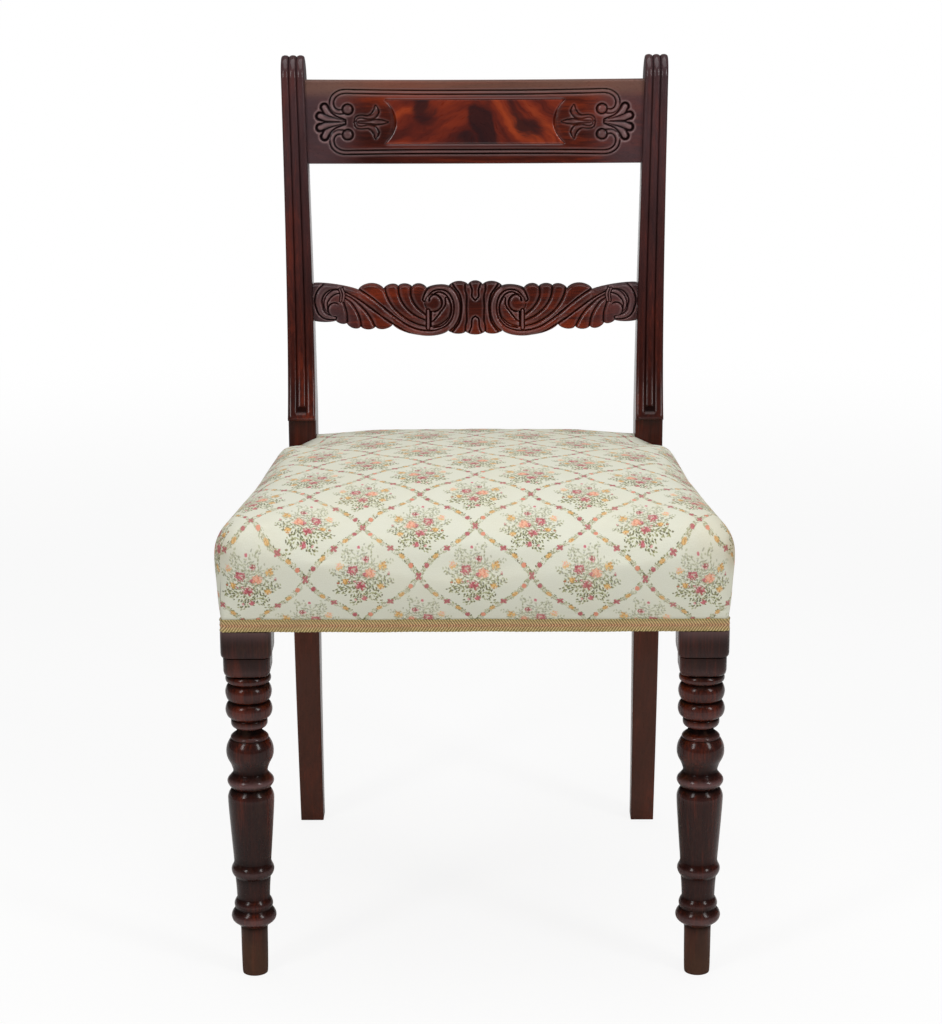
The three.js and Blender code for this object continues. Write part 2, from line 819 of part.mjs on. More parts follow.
function screwBore(screw) {
  const bore = screwRadius + clearance;
  const mouth = screwHeadRadius + clearance;
  return alongScrew([
    [0, -cornerBlockReach],
    [mouth, -cornerBlockReach],
    [mouth, clearance],
    [bore, screwHeadHeight + clearance],
    [bore, screw.length],
    [0, screw.length + clearance],
  ], screw, screwSides);
}

function cornerBlock(corner) {
  const { squareX, squareY, railY, toward } = corner;
  const [from, to] = slantEnds(corner);
  const faceY = squareY + toward * clearance;
  const wood = prism([
    [from.x, from.y],
    [squareX - clearance, railY + toward * clearance],
    [squareX - clearance, faceY],
    [sideInnerAt(faceY) - clearance, faceY],
    [to.x, to.y],
  ], cornerBlockBottom, cornerBlockTop);
  return geometryOf(cut(solidOf(wood), ...screwPlaces(corner).map(screwBore)));
}

// Heights of the webbing: it lies on the rails and weaves over and under between them
const webRailZ = seatFrameTop + clearance + webThickness / 2;
const webWeave = (webThickness + clearance) / 2;
const webMiddleZ = webRailZ + webWeave + clearance;
const webTopZ = webMiddleZ + webWeave + webThickness / 2;
const webCount = 3;

// Each strap: its direction, its place across, both ends and the straps it crosses
function webStraps() {
  const order = Array.from({ length: webCount }, (_, i) => i);
  const acrossPlaces = order.map((i) => (i - (webCount - 1) / 2) * webSpacingAcross);
  const alongPlaces = order.map((i) => webFirstY + i * webSpacingAlong);
  const lengthwise = order.map((i) => ({
    name: `webbing_lengthwise_${i + 1}`,
    at: (s, side) => [acrossPlaces[i] + side, s],
    ends: [frameFrontY + webEndInset, frameRearY - webEndInset],
    crossings: alongPlaces,
    firstSide: i % 2 ? 1 : -1,
  }));
  const crosswise = order.map((i) => {
    const half = sideOuterAt(alongPlaces[i] + webWidth / 2) - webEndInset;
    return {
      name: `webbing_crosswise_${i + 1}`,
      at: (s, side) => [s, alongPlaces[i] + side],
      ends: [-half, half],
      crossings: acrossPlaces,
      firstSide: i % 2 ? -1 : 1,
    };
  });
  return [...lengthwise, ...crosswise];
}

function webStrap({ at, ends, crossings, firstSide }) {
  const railEdge = railThickness - webEndInset;
  const heights = [
    [ends[0], webRailZ],
    [ends[0] + railEdge, webRailZ],
    ...crossings.flatMap((place, i) => {
      const z = webMiddleZ + (i % 2 ? -firstSide : firstSide) * webWeave;
      return [[place - webFlat, z], [place + webFlat, z]];
    }),
    [ends[1] - railEdge, webRailZ],
    [ends[1], webRailZ],
  ];
  const rings = heights.map(([s, z]) => [[-1, -1], [1, -1], [1, 1], [-1, 1]].map(([side, up]) => {
    const [x, y] = at(s, (side * webWidth) / 2);
    return new THREE.Vector3(x, y, z + (up * webThickness) / 2);
  }));
  const runsAcross = at(1, 0)[0] === 1;
  return loft(rings, runsAcross ? 'x' : 'y');
}

// Right half of the seat in plan, from the middle of the front to the middle of the rear
function seatHalfOutline(front, rear, frontRadius, grow) {
  const tilt = Math.atan(sideSlope);
  const arcSteps = 4;
  const arc = (y, radius, startAngle, endAngle) => {
    const x = sideOuterAt(y) + coverOffset + grow - radius / Math.cos(tilt);
    return Array.from({ length: arcSteps + 1 }, (_, i) => {
      const angle = THREE.MathUtils.lerp(startAngle, endAngle, i / arcSteps);
      return new THREE.Vector2(x + radius * Math.cos(angle), y + radius * Math.sin(angle));
    });
  };
  const frontArc = arc(front + frontRadius, frontRadius, -Math.PI / 2, tilt);
  const rearArc = arc(rear - rearCornerRadius, rearCornerRadius, tilt, Math.PI / 2);
  const between = (from, to, steps) => Array.from({ length: steps - 1 }, (_, i) => (
    from.clone().lerp(to, (i + 1) / steps)
  ));
  const frontMiddle = new THREE.Vector2(0, front);
  const rearMiddle = new THREE.Vector2(0, rear);
  return [
    frontMiddle,
    ...between(frontMiddle, frontArc[0], 5),
    ...frontArc,
    ...between(frontArc[arcSteps], rearArc[0], 6),
    ...rearArc,
    ...between(rearArc[arcSteps], rearMiddle, 4),
    rearMiddle,
  ];
}

// A level ring of the seat. Grow moves the outline out and drop lowers it. The bulge
// pushes out square to the edge and dies away towards the rear.
function seatRing([size, bulge, height, rounding], grow, drop) {
  const z = THREE.MathUtils.lerp(coverBottom, crownTop, height) - drop;
  const front = frameFrontY - coverOffset - grow;
  const rear = frameRearY + coverOffset + grow;
  const frontRadius = THREE.MathUtils.lerp(coverCornerRadius, crownCornerRadius, rounding);
  const half = seatHalfOutline(front, rear, frontRadius, grow);
  const left = half.slice(1, -1).reverse().map((point) => new THREE.Vector2(-point.x, point.y));
  const outline = [...half, ...left];
  const middleY = (front + rear) / 2;
  return outline.map((point, i) => {
    const before = outline[(i + outline.length - 1) % outline.length];
    const after = outline[(i + 1) % outline.length];
    const along = after.clone().sub(before).normalize();
    const back = THREE.MathUtils.inverseLerp(front, rear, point.y);
    const push = bulge * edgeBulge * THREE.MathUtils.lerp(1, rearBulgeShare, back);
    const x = point.x * size + along.y * push;
    const y = middleY + (point.y - middleY) * size - along.x * push;
    return new THREE.Vector3(x, y, z);
  });
}

function seatBody(grow, drop, rings) {
  return rings.map((ring) => seatRing(ring, grow, drop));
}

// The space that each post takes out of the seat
function postNotches() {
  const x = postInnerAt(noseHeight) - clearance;
  const notch = block(
    [x, x + frameFrontHalf],
    [postFrontY - clearance, postFrontY + frameFrontHalf],
    [0, overallHeight],
  );
  return [notch, mirrored(notch)];
}

function seatCover() {
  const outer = fannedLoft(seatBody(0, 0, seatRingShares));
  const innerRings = seatBody(-coverThickness, coverThickness, seatRingShares);
  const opening = innerRings[0].map((point) => point.clone().setZ(coverBottom - overrun));
  const inner = fannedLoft([opening, ...innerRings.slice(1)]);
  return geometryOf(cut(solidOf(outer), inner, ...postNotches()));
}

// Plan of the seat frame, grown outwards
function framePlan(grow) {
  const [front, rear] = [frameFrontY - grow, frameRearY + grow];
  return [
    [-sideOuterAt(front) - grow, front],
    [sideOuterAt(front) + grow, front],
    [sideOuterAt(rear) + grow, rear],
    [-sideOuterAt(rear) - grow, rear],
  ];
}

const hessianBottom = webTopZ + clearance;
const hessianTop = hessianBottom + hessianThickness;

function baseHessian() {
  const sheet = prism(framePlan(-hessianInset), hessianBottom, hessianTop);
  return geometryOf(cut(solidOf(sheet), ...postNotches()));
}

function seatStuffing() {
  const shell = coverThickness + clearance;
  const rings = seatBody(-shell, shell, seatRingShares.slice(skirtRingCount));
  const frame = prism(framePlan(clearance), 0, hessianTop + clearance);
  return geometryOf(cut(solidOf(fannedLoft(rings)), frame, ...postNotches()));
}

// The braid is one band round the seat, parted by the posts
function braidBand() {
  const levels = [braidBottom, braidBottom + braidHeight];
  const ringAt = (grow, z) => seatRing(seatRingShares[0], grow, 0).map((p) => p.setZ(z));
  const outer = fannedLoft(levels.map((z) => ringAt(clearance + braidThickness, z)));
  const [low, high] = [levels[0] - overrun, levels[1] + overrun];
  const inner = fannedLoft([low, high].map((z) => ringAt(clearance, z)));
  return cut(solidOf(outer), inner);
}

function partOfBraid(depth, half) {
  const reach = block([-half, half], depth, [0, overallHeight]);
  return geometryOf(braidBand().intersect(solidOf(reach)));
}

addPair('back_post', backPost(), mahogany);
addPiece('crest_rail', crestRail(), mahogany);
addPiece('crest_flame_panel', tablet(0, 0, veneerThickness), flameMahogany);
addPiece('carved_mid_rail', carvedMidRail(), mahogany);
addPair('front_leg', frontLeg(), wornMahogany);

const screwSets = blockedCorners.map(screwPlaces);
const bores = screwSets.flat().map(screwBore);
const leftBores = bores.map((bore) => mirrored(geometryOf(solidOf(bore))));
addPiece('front_seat_rail', geometryOf(cut(frontRail(), ...bores, ...leftBores)), beech);
addPiece('rear_seat_rail', geometryOf(cut(rearRail(), ...bores, ...leftBores)), beech);
addPair('side_seat_rail', geometryOf(cut(sideRail(), ...bores)), beech);
blockedCorners.forEach((corner, i) => {
  addPair(`${corner.name}_corner_block`, cornerBlock(corner), beech);
  screwSets[i].forEach((screw, j) => {
    addPair(`${corner.name}_block_screw_${j + 1}`, geometryOf(solidOf(woodScrew(screw))), steel);
  });
});

webStraps().forEach((strap) => addPiece(strap.name, webStrap(strap), jute));
addPiece('base_hessian', baseHessian(), jute);
addPiece('seat_stuffing', seatStuffing(), horsehair);
addPiece('seat_cover', seatCover(), wovenSilk);
const frontReach = [frameFrontY - frameFrontHalf, postFrontY - clearance];
addPiece('front_braid', partOfBraid(frontReach, 2 * frameFrontHalf), ochreBraid);
const rearBraidHalf = postInnerAt(noseHeight) - clearance;
const rearReach = [postFrontY, postFrontY + frameFrontHalf];
addPiece('rear_braid', partOfBraid(rearReach, rearBraidHalf), ochreBraid);

// Centre the chair on its own depth, from the seat front to the back of the scrolls
const scrollBackY = postFrontAt(scrollZ) + 2 * scrollRadius;
chair.position.y = -(seatFrontY + scrollBackY) / 2;

export default chair;
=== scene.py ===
# %% [markdown]
# A side chair with a carved back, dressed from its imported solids.
# The solids give every piece its place and size. This lesson gives each one the
# detail that the hand and the eye meet: reeds, carving, grain, weave and wear.
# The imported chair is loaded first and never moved, so that a new piece can be set
# where its solid stands.

import math

import bmesh
import bpy
import numpy as np
from mathutils import Matrix, Vector


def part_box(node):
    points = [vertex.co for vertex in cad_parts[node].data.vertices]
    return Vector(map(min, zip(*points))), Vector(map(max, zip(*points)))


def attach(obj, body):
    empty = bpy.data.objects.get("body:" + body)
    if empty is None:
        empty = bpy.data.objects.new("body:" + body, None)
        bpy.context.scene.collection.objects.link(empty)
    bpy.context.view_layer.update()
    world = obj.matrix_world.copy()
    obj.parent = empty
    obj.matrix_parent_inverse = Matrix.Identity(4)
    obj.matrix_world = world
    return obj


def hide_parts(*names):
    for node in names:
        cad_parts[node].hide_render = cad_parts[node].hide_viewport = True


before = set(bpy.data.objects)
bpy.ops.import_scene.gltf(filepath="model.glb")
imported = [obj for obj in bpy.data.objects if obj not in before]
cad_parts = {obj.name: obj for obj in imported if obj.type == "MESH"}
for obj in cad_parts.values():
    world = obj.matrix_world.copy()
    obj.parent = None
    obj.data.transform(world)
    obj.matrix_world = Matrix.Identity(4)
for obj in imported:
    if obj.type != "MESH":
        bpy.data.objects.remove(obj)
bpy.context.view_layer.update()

# %% [markdown]
# Joiners count in millimetres from a line that matters. On this chair that line is
# the axis of the front legs, so each piece below is drawn in millimetres from it.
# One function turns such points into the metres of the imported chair.

# %% Places
MM = 0.001
FIT = 0.3  # room left between parts that meet
leg_low, leg_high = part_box("right_front_leg")
LEG_AXIS_Y = (leg_low.y + leg_high.y) / 2
LEG_AXIS_X = (leg_low.x + leg_high.x) / 2 / MM


def placed(points):
    """Millimetres from the axis of the front legs, as metres in the chair's frame."""
    return np.asarray(points, float) * MM + np.array([0, LEG_AXIS_Y, 0])


def ramped(value, start, length):
    """Nought up to the start, one a length further on, and a straight slope between."""
    return np.clip((value - start) / length, 0, 1)


def gentle(share):
    """A share from nought to one that sets off and arrives gently."""
    return share * share * (3 - 2 * share)


print("front leg axis", round(LEG_AXIS_X, 2), "mm out,", round(-LEG_AXIS_Y, 4), "m forward")

# %% [markdown]
# Every piece here is a skin over rows of points, like cloth over ribs. Rows that close
# on themselves make a tube, and a tube whose ends are closed is a solid. Building the
# rows with numbers keeps the faces even, which cutting and joining blocks would not.

# %% Pieces from rows of points
SMOOTH_UNDER = math.radians(38)


def skin_faces(rows, count, closed=True):
    """Four-cornered faces between rows of equally many points."""
    steps = np.arange(count if closed else count - 1)
    row = np.arange(rows - 1)[:, None] * count
    a, b = row + steps, row + (steps + 1) % count
    return np.stack([a, b, b + count, a + count], axis=-1).reshape(-1, 4).tolist()


def new_mesh(name, points, faces, marks=None):
    """A mesh in the chair's frame from points in millimetres, with values on its points."""
    mesh = bpy.data.meshes.new(name)
    mesh.from_pydata(placed(points).tolist(), [], faces)
    for mark, values in (marks or {}).items():
        values = np.asarray(values, np.float32)
        kind, key = ("FLOAT", "value") if values.ndim == 1 else ("FLOAT_VECTOR", "vector")
        mesh.attributes.new(mark, kind, "POINT").data.foreach_set(key, values.ravel())
    return mesh


def tidy_mesh(mesh, weld=1e-6):
    """Joins points that coincide and turns every face outwards."""
    work = bmesh.new()
    work.from_mesh(mesh)
    bmesh.ops.remove_doubles(work, verts=work.verts, dist=weld)
    bmesh.ops.recalc_face_normals(work, faces=work.faces)
    work.to_mesh(mesh)
    work.free()


def new_piece(name, mesh, finish, stands_for):
    """Puts a mesh on the chair: it rides with it, and its solid is hidden."""
    mesh.shade_smooth()
    mesh.set_sharp_from_angle(angle=SMOOTH_UNDER)
    mesh.materials.append(finish)
    piece = bpy.data.objects.new(name, mesh)
    bpy.context.scene.collection.objects.link(piece)
    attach(piece, "root")
    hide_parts(*stands_for)
    print(name, len(mesh.vertices), "points")
    return piece


def tube(rings, marks=None, name="tube"):
    """A closed solid through rings of points, with flat ends."""
    rings = np.asarray(rings, float)
    rows, count = rings.shape[:2]
    faces = skin_faces(rows, count)
    faces += [list(range(count))[::-1], list(range((rows - 1) * count, rows * count))]
    mesh = new_mesh(name, rings.reshape(-1, 3), faces, marks)
    tidy_mesh(mesh)
    return mesh


def both_sides(points):
    """The same points on the left side of the chair."""
    return np.asarray(points, float) * (-1, 1, 1)


# %% [markdown]
# A finish is a small drawing of nodes. To keep it readable, one class wraps a number
# that varies over the surface, so that sums on it are written as plain sums. A second
# wraps the drawing itself and adds any other node, and a third is the drawing of one
# finish, which has its shader in place from the start.


# %% Shader sums
class Value:
    """A number that varies over a surface. Sums on it add Math nodes."""

    def __init__(self, drawing, socket):
        self.drawing = drawing
        self.socket = socket

    def output(self, name):
        """Another result of the same node."""
        return Value(self.drawing, self.socket.node.outputs[name])

    def maths(self, operation, *others, clamp=False):
        """This value and others through one Math node."""
        settings = {"operation": operation, "use_clamp": clamp}
        return self.drawing.node("ShaderNodeMath", settings, [self, *others])

    def after(self, operation, first):
        """The same with a plain number in front, as in 1 - mask."""
        return self.drawing.node("ShaderNodeMath", {"operation": operation}, [first, self])

    def __add__(self, other):
        return self.maths("ADD", other)

    def __radd__(self, other):
        return self.after("ADD", other)

    def __sub__(self, other):
        return self.maths("SUBTRACT", other)

    def __rsub__(self, other):
        return self.after("SUBTRACT", other)

    def __mul__(self, other):
        return self.maths("MULTIPLY", other)

    def __rmul__(self, other):
        return self.after("MULTIPLY", other)

    def __truediv__(self, other):
        return self.maths("DIVIDE", other)

    def __rtruediv__(self, other):
        return self.after("DIVIDE", other)

    def __pow__(self, other):
        return self.maths("POWER", other)

    def __rpow__(self, other):
        return self.after("POWER", other)

    def __neg__(self):
        return self.maths("MULTIPLY", -1)

    def __abs__(self):
        return self.maths("ABSOLUTE")

    def under(self, other):
        return self.maths("LESS_THAN", other)

    def over(self, other):
        return self.maths("GREATER_THAN", other)

    def lesser(self, other):
        return self.maths("MINIMUM", other)

    def greater(self, other):
        return self.maths("MAXIMUM", other)

    def held(self):
        """The value kept between nought and one."""
        return self.maths("ADD", 0, clamp=True)

    def rise(self, low, high):
        """Nought below low, one above high and a smooth slope between."""
        settings = {"interpolation_type": "SMOOTHSTEP"}
        return self.drawing.node("ShaderNodeMapRange", settings, {0: self, 1: low, 2: high})


# %% Node drawings
class Drawing:
    """The nodes of a finish or of the world."""

    def __init__(self, owner):
        owner.use_nodes = True
        self.tree = owner.node_tree
        self.tree.nodes.clear()

    def set_socket(self, socket, value):
        if isinstance(value, Value):
            self.tree.links.new(value.socket, socket)
        else:
            socket.default_value = value

    def node(self, kind, settings=None, inputs=(), output=0):
        """Adds a node: its settings are set first, then its sockets by place or name."""
        node = self.tree.nodes.new(kind)
        settings = dict(settings or {})
        stops = settings.pop("stops", None)
        for setting, value in settings.items():
            setattr(node, setting, value)
        if stops:
            ramp = node.color_ramp
            while len(ramp.elements) < len(stops):
                ramp.elements.new(0.5)
            for element, (place, colour) in zip(ramp.elements, stops):
                element.position = place
                element.color = (*colour, 1)
        pairs = inputs.items() if isinstance(inputs, dict) else enumerate(inputs)
        for socket, value in pairs:
            self.set_socket(node.inputs[socket], value)
        return Value(self, node.outputs[output]) if node.outputs else node


# %% Finishes
class Recipe(Drawing):
    """The nodes of one finish, which all end in one shader."""

    def __init__(self, name, **constants):
        self.material = bpy.data.materials.new(name)
        super().__init__(self.material)
        lit = self.node("ShaderNodeBsdfPrincipled")
        self.surface = lit.socket.node
        self.end = self.node("ShaderNodeOutputMaterial", {}, [lit])
        self.finish(**constants)

    def parts(self, vector):
        """The three numbers of a vector."""
        whole = self.node("ShaderNodeSeparateXYZ", {}, [vector])
        return whole, whole.output("Y"), whole.output("Z")

    def joined(self, x, y, z):
        return self.node("ShaderNodeCombineXYZ", {}, [x, y, z])

    def mix(self, share, first, second, blend="MIX"):
        """A colour between two, or the second laid over the first by a share."""
        settings = {"data_type": "RGBA", "blend_type": blend}
        return self.node("ShaderNodeMix", settings, {0: share, 6: first, 7: second}, 2)

    def ramp(self, value, stops):
        return self.node("ShaderNodeValToRGB", {"stops": stops}, [value])

    def mark(self, name, output="Fac"):
        """A value or a vector that the piece carries on its points."""
        return self.node("ShaderNodeAttribute", {"attribute_name": name}, (), output)

    def noise(self, place, scale=1.0, detail=2.0, rough=0.5):
        sockets = {"Vector": place, "Scale": scale, "Detail": detail, "Roughness": rough}
        return self.node("ShaderNodeTexNoise", {}, sockets)

    def finish(self, **sockets):
        """Feeds the shader, whose sockets are named with low lines for spaces."""
        for socket, value in sockets.items():
            self.set_socket(self.surface.inputs[socket.replace("_", " ")], value)
        return self.material

    def bump(self, height, depth):
        """Tilts the shading by a height from nought to one that is depth metres deep."""
        sockets = {"Strength": 1.0, "Distance": depth, "Height": height}
        return self.node("ShaderNodeBump", {}, sockets)


# %% Colours
def rgb(red, green, blue):
    """A colour picked on the screen, 0 to 255 a part, as the light it stands for."""
    parts = [part / 255 for part in (red, green, blue)]
    return tuple(((p + 0.055) / 1.055) ** 2.4 if p > 0.04045 else p / 12.92 for p in parts)


def rgba(red, green, blue):
    return (*rgb(red, green, blue), 1)


# %% [markdown]
# Mahogany has long pale and dark streaks, short dark pores and, under old French
# polish, a deep shine that is duller in the hollows. Painted shade darkens the hollows,
# with some old polish and dirt there too, and a painted highlight lightens ridges and
# rubbed edges; a painted sheen lies on the rail ends, the post tops and the crest's top.
# A picture of wood would end at its edges and repeat, so noise is drawn out along the
# grain instead, and one recipe takes the way the grain runs in a piece.
# The carved pieces, the reeded posts and the turned legs carry a mark for hollows and
# ridges, which sets where shade and highlight are painted; pieces without it read it as nought.


# %% Grain
def grain_places(recipe, grain):
    """Places across, through and along the grain, in metres."""
    x, y, z = recipe.parts(recipe.node("ShaderNodeTexCoord", {}, (), "Object"))
    return {"x": (z, y, x), "y": (x, z, y), "z": (x, y, z)}[grain]


def grain_noise(recipe, places, fine, lengthwise, detail, rough=0.5):
    """Noise that is fine across the grain and drawn out along it."""
    across, through, along = places
    place = recipe.joined(across * fine, through * fine, along * lengthwise)
    return recipe.noise(place, 1, detail, rough)


def darkened(colour, share):
    """A share of a colour, as a socket takes it."""
    return (*[part * share for part in colour], 1)


# %% Mahogany
BLUE_SHEEN, CREST_TOP_SHEEN, RIDGE_HIGHLIGHT = rgba(76, 60, 64), rgba(118, 86, 74), rgba(128, 98, 98)
FOOT_TONE, BARE_WOOD = rgba(96, 60, 46), rgba(92, 68, 54)
# heights in metres between which the crest's top edge takes a painted sheen, and the feet and
# the leg blocks change tone
CREST_EDGE, FOOT, BLOCKS = (0.803, 0.818), (0.2, 0.42), (0.29, 0.33)


def mahogany(name, grain, tones, gloss=0.24, wear=0.0, painted_sheen=None):
    """Polished wood. The last argument paints a bluish sheen: where it starts and is full along
    the grain, and how strong it is.
    """
    recipe = Recipe(name, Coat_Roughness=0.16, Coat_IOR=1.45, Specular_IOR_Level=0.05)
    dark, mid, light = tones
    across, through, along = places = grain_places(recipe, grain)
    drift = recipe.noise(recipe.joined(across, through, along * 0.4), 9, 2) - 0.5
    bent = (across + drift * 0.02, through, along)
    streaks = grain_noise(recipe, bent, 420, 14, 4, 0.6)
    broad = grain_noise(recipe, bent, 26, 5, 3, 0.55)
    pore = grain_noise(recipe, bent, 2300, 170, 1).rise(0.6, 0.72)
    tone = (streaks * 0.34 + broad * 0.78).rise(0.33, 0.82)
    colour = recipe.ramp(tone, [(0.0, dark), (0.5, mid), (1.0, light)])
    hollow = recipe.mark("hollow")
    sunk, ridge = hollow.held(), (-hollow).held()
    if painted_sheen:
        start, full, share = painted_sheen
        # Painted sheen: a bluish reflection of the lamps is painted on the ends of the rails
        # and the upper posts.
        cloudy = grain_noise(recipe, places, 34, 12, 3)
        sheen_share = abs(along).rise(start, full) * (0.4 + cloudy)
        colour = recipe.mix((sheen_share * share).held(), colour, BLUE_SHEEN)
        if grain == "x":
            # Painted sheen: the top edge of the crest rail is painted a lighter brown, where
            # light catches it.
            top_sheen = across.rise(*CREST_EDGE) * (0.35 + cloudy * 0.6)
            colour = recipe.mix(top_sheen, colour, CREST_TOP_SHEEN)
        else:
            colour = recipe.mix((1 - along.rise(*FOOT)) * 0.5, colour, FOOT_TONE)
    colour = recipe.mix(pore * 0.35, colour, darkened(dark, 0.3))
    # Painted shade: hollows, grooves and the legs' creases are painted near black, with some
    # old polish and dirt there too.
    colour = recipe.mix(sunk * 0.92, colour, darkened(dark, 0.12))
    # Painted highlight: ridges and bead crowns are painted a pale bluish brown, with some
    # rubbing of the edges too.
    colour = recipe.mix(ridge * ridge * 0.75, colour, RIDGE_HIGHLIGHT)
    rubbed = grain_noise(recipe, places, 60, 25, 4, 0.65)
    worn = rubbed.rise(0.5, 0.75) * wear
    if wear:
        colour = recipe.mix(along.rise(*BLOCKS) * 0.45, colour, darkened(dark, 1))
        worn = (worn + recipe.mark("worn") * (0.5 + rubbed)).held()
        colour = recipe.mix(worn * 0.6, colour, BARE_WOOD)
    rough = gloss + streaks * 0.1 + sunk * 0.55 + worn * 0.35
    skin = recipe.bump(pore * -0.5 + streaks * 0.2 + rubbed * 0.5, 0.0001)
    coat = ((0.42 - worn * 0.4) * (1 - sunk)).held()
    return recipe.finish(Base_Color=colour, Roughness=rough, Coat_Weight=coat, Normal=skin)


POST_TONES = rgb(34, 12, 10), rgb(66, 24, 16), rgb(116, 42, 21)
RAIL_TONES = rgb(34, 12, 10), rgb(72, 26, 17), rgb(126, 46, 22)
LEG_TONES = rgb(24, 8, 5), rgb(46, 15, 8), rgb(98, 34, 12)
# The posts get a painted bluish sheen near their tops, the rails near their ends.
post_wood = mahogany("post_mahogany", "z", POST_TONES, painted_sheen=(0.5, 0.84, 0.6))
rail_wood = mahogany("rail_mahogany", "x", RAIL_TONES, painted_sheen=(0.11, 0.16, 0.75))
leg_wood = mahogany("leg_mahogany", "z", LEG_TONES, gloss=0.22, wear=0.35)
print("mahogany finishes made")

# %% [markdown]
# Each back post is one piece from its square foot to the scroll. Seen from the side it
# is a curved band with a rolled top, and three reeds run up its face and over the roll.
# A ring of points is drawn across the band at every step: over the reeded face, then
# back along the rear. The curves repeat the ones that the solids were cut by.

# %% Curves of the posts
SEAT_BOTTOM, NOSE_Z, TOP_Z = 353.5, 471.0, 850.0
BACK_RISE = TOP_Z - NOSE_Z
POST_FRONT, POST_DEPTH = 372.0, 46.0
FOOT_SWEEP, HEEL_SWEEP = 42.0, 23.0
NOSE_STEP, BACK_HOLLOW, BACK_RAKE, REAR_RAKE = 12.0, 18.0, 40.0, 33.0
POST_MIDDLE, POST_SPREAD = 185.3, 6.9
SCROLL_RADIUS = 24.0
SCROLL_Z = TOP_Z - SCROLL_RADIUS


def up_back(z):
    """Height as a share of the back, from the nose of the post to its top."""
    return (np.asarray(z, float) - NOSE_Z) / BACK_RISE


def post_front(z):
    z = np.asarray(z, float)
    leg = POST_FRONT + FOOT_SWEEP * np.clip(1 - z / SEAT_BOTTOM, 0, 1) ** 1.8
    hollow = BACK_HOLLOW * (1 - np.exp(-up_back(z) / 0.13))
    back = POST_FRONT - NOSE_STEP + hollow + BACK_RAKE * up_back(z)
    return np.where(z < NOSE_Z, leg, back)


def post_rear(z):
    z = np.asarray(z, float)
    leg = HEEL_SWEEP * np.clip(1 - z / SEAT_BOTTOM, 0, 1) ** 2.6
    return POST_FRONT + POST_DEPTH + leg + REAR_RAKE * np.clip(up_back(z), 0, None) ** 1.5


def post_width(z):
    heights = [0, SEAT_BOTTOM, NOSE_Z, NOSE_Z + BACK_RISE * 0.34, TOP_Z]
    return np.interp(z, heights, [25.2, 28.6, 29.2, 27.6, 24.0])


def post_centre(z):
    return POST_MIDDLE + POST_SPREAD * np.clip(up_back(z), 0, None) ** 1.5


def post_inner(z):
    return post_centre(z) - post_width(z) / 2


lean = float(post_front(SCROLL_Z) - post_front(NOSE_Z))
print("posts lean back", round(lean, 1), "mm over", round(SCROLL_Z - NOSE_Z), "mm of height")

# %% Reeds
REED_DEPTH = 2.3
ARRIS = 1.1
REEDS_START = 487.0
# height of a stop and the length over which a cut grows to its depth
GROOVE_STOP, CROWN_STOP = (478.4, 1.6), (484.4, 2.0)
reed_turns = np.radians(np.arange(-90, 91, 15))
reed_across = np.unique(np.round(
    np.concatenate([(2 * reed + np.sin(reed_turns)) / 3 for reed in (-1, 0, 1)]), 6
))


def reed_depths():
    """How deep each line across the face lies where it is reeded."""
    share = (reed_across * 3 + 3) % 2 - 1
    share[-1] = 1.0
    return REED_DEPTH * (1 - np.sqrt(np.clip(1 - share ** 2, 0, 1)))


def stopped_depths(z):
    """The same above and below the stops: the middle reed ends first, in a hollow."""
    full, place = reed_depths(), np.abs(reed_across)
    below = np.where(place > 0.7, full, 0)
    hollow = np.where(place < 0.34, REED_DEPTH * 0.9, full)
    grooves, crown = ramped(z, *GROOVE_STOP), ramped(z, *CROWN_STOP)
    return below + (hollow + (full - hollow) * crown - below) * grooves


def plain_depths(width):
    """How deep each line lies where the face is plain: only the arrises are eased."""
    edge = np.clip(ARRIS - (1 - np.abs(reed_across)) * width / 2, 0, ARRIS)
    return ARRIS - np.sqrt(ARRIS ** 2 - edge ** 2)


# %% Side of a post
LEG_ROWS, FACE_ROWS, ROLL_ROWS = 24, 84, 26
REAR_FACE = 482.0, 802.2
ROLL_FRONT, ROLL_REAR, ROLL_MEETS = 180.0, -72.0, 54.0


def post_side_lines():
    """Front and rear of the post from the side: y, z, the way in, and how reeded."""
    scroll_y = float(post_front(SCROLL_Z)) + SCROLL_RADIUS
    front, rear = [], []
    leg = np.linspace(0, SEAT_BOTTOM, LEG_ROWS)
    front += [(post_front(z), z, 1, 0, 0) for z in leg]
    rear += [(post_rear(z), z, -1, 0, 0) for z in leg]
    for z in (390, 430, 455, 469, 470.6):
        front.append((POST_FRONT, z, 1, 0, 0))
        rear.append((post_rear(z), z, -1, 0, 0))
    nose = [(371.4, 471.0, 0), (363.2, 471.0, 0), (361.2, 471.7, 0.3), (360.3, 473.4, 0.8)]
    nose += [(float(post_front(z)), z, 1)
             for z in (476, 478.3, 479.2, 480.1, 481.5, 483.0, 484.3, 485.3, 486.5)]
    front += [(y, z, 1, 0, reed) for y, z, reed in nose]
    rear += [(post_rear(z), z, -1, 0, 0) for z in np.linspace(471.5, 479, len(nose))]
    climb = np.linspace(0, 1, FACE_ROWS) ** 1.15
    front_z = REEDS_START + (SCROLL_Z - 1 - REEDS_START) * climb
    rear_z = REAR_FACE[0] + (REAR_FACE[1] - REAR_FACE[0]) * climb
    front += [(post_front(z), z, 1, 0, 1) for z in front_z]
    rear += [(post_rear(z), z, -1, 0, 0) for z in rear_z]
    for share in np.linspace(0, 1, ROLL_ROWS):
        for line, start in ((front, ROLL_FRONT), (rear, ROLL_REAR)):
            turn = math.radians(start + (ROLL_MEETS - start) * share)
            way = (-math.cos(turn), -math.sin(turn))
            y, z = scroll_y - SCROLL_RADIUS * way[0], SCROLL_Z - SCROLL_RADIUS * way[1]
            line.append((y, z, *way, 1 if line is front or share > 0.03 else 0))
    return np.array(front, float), np.array(rear, float)


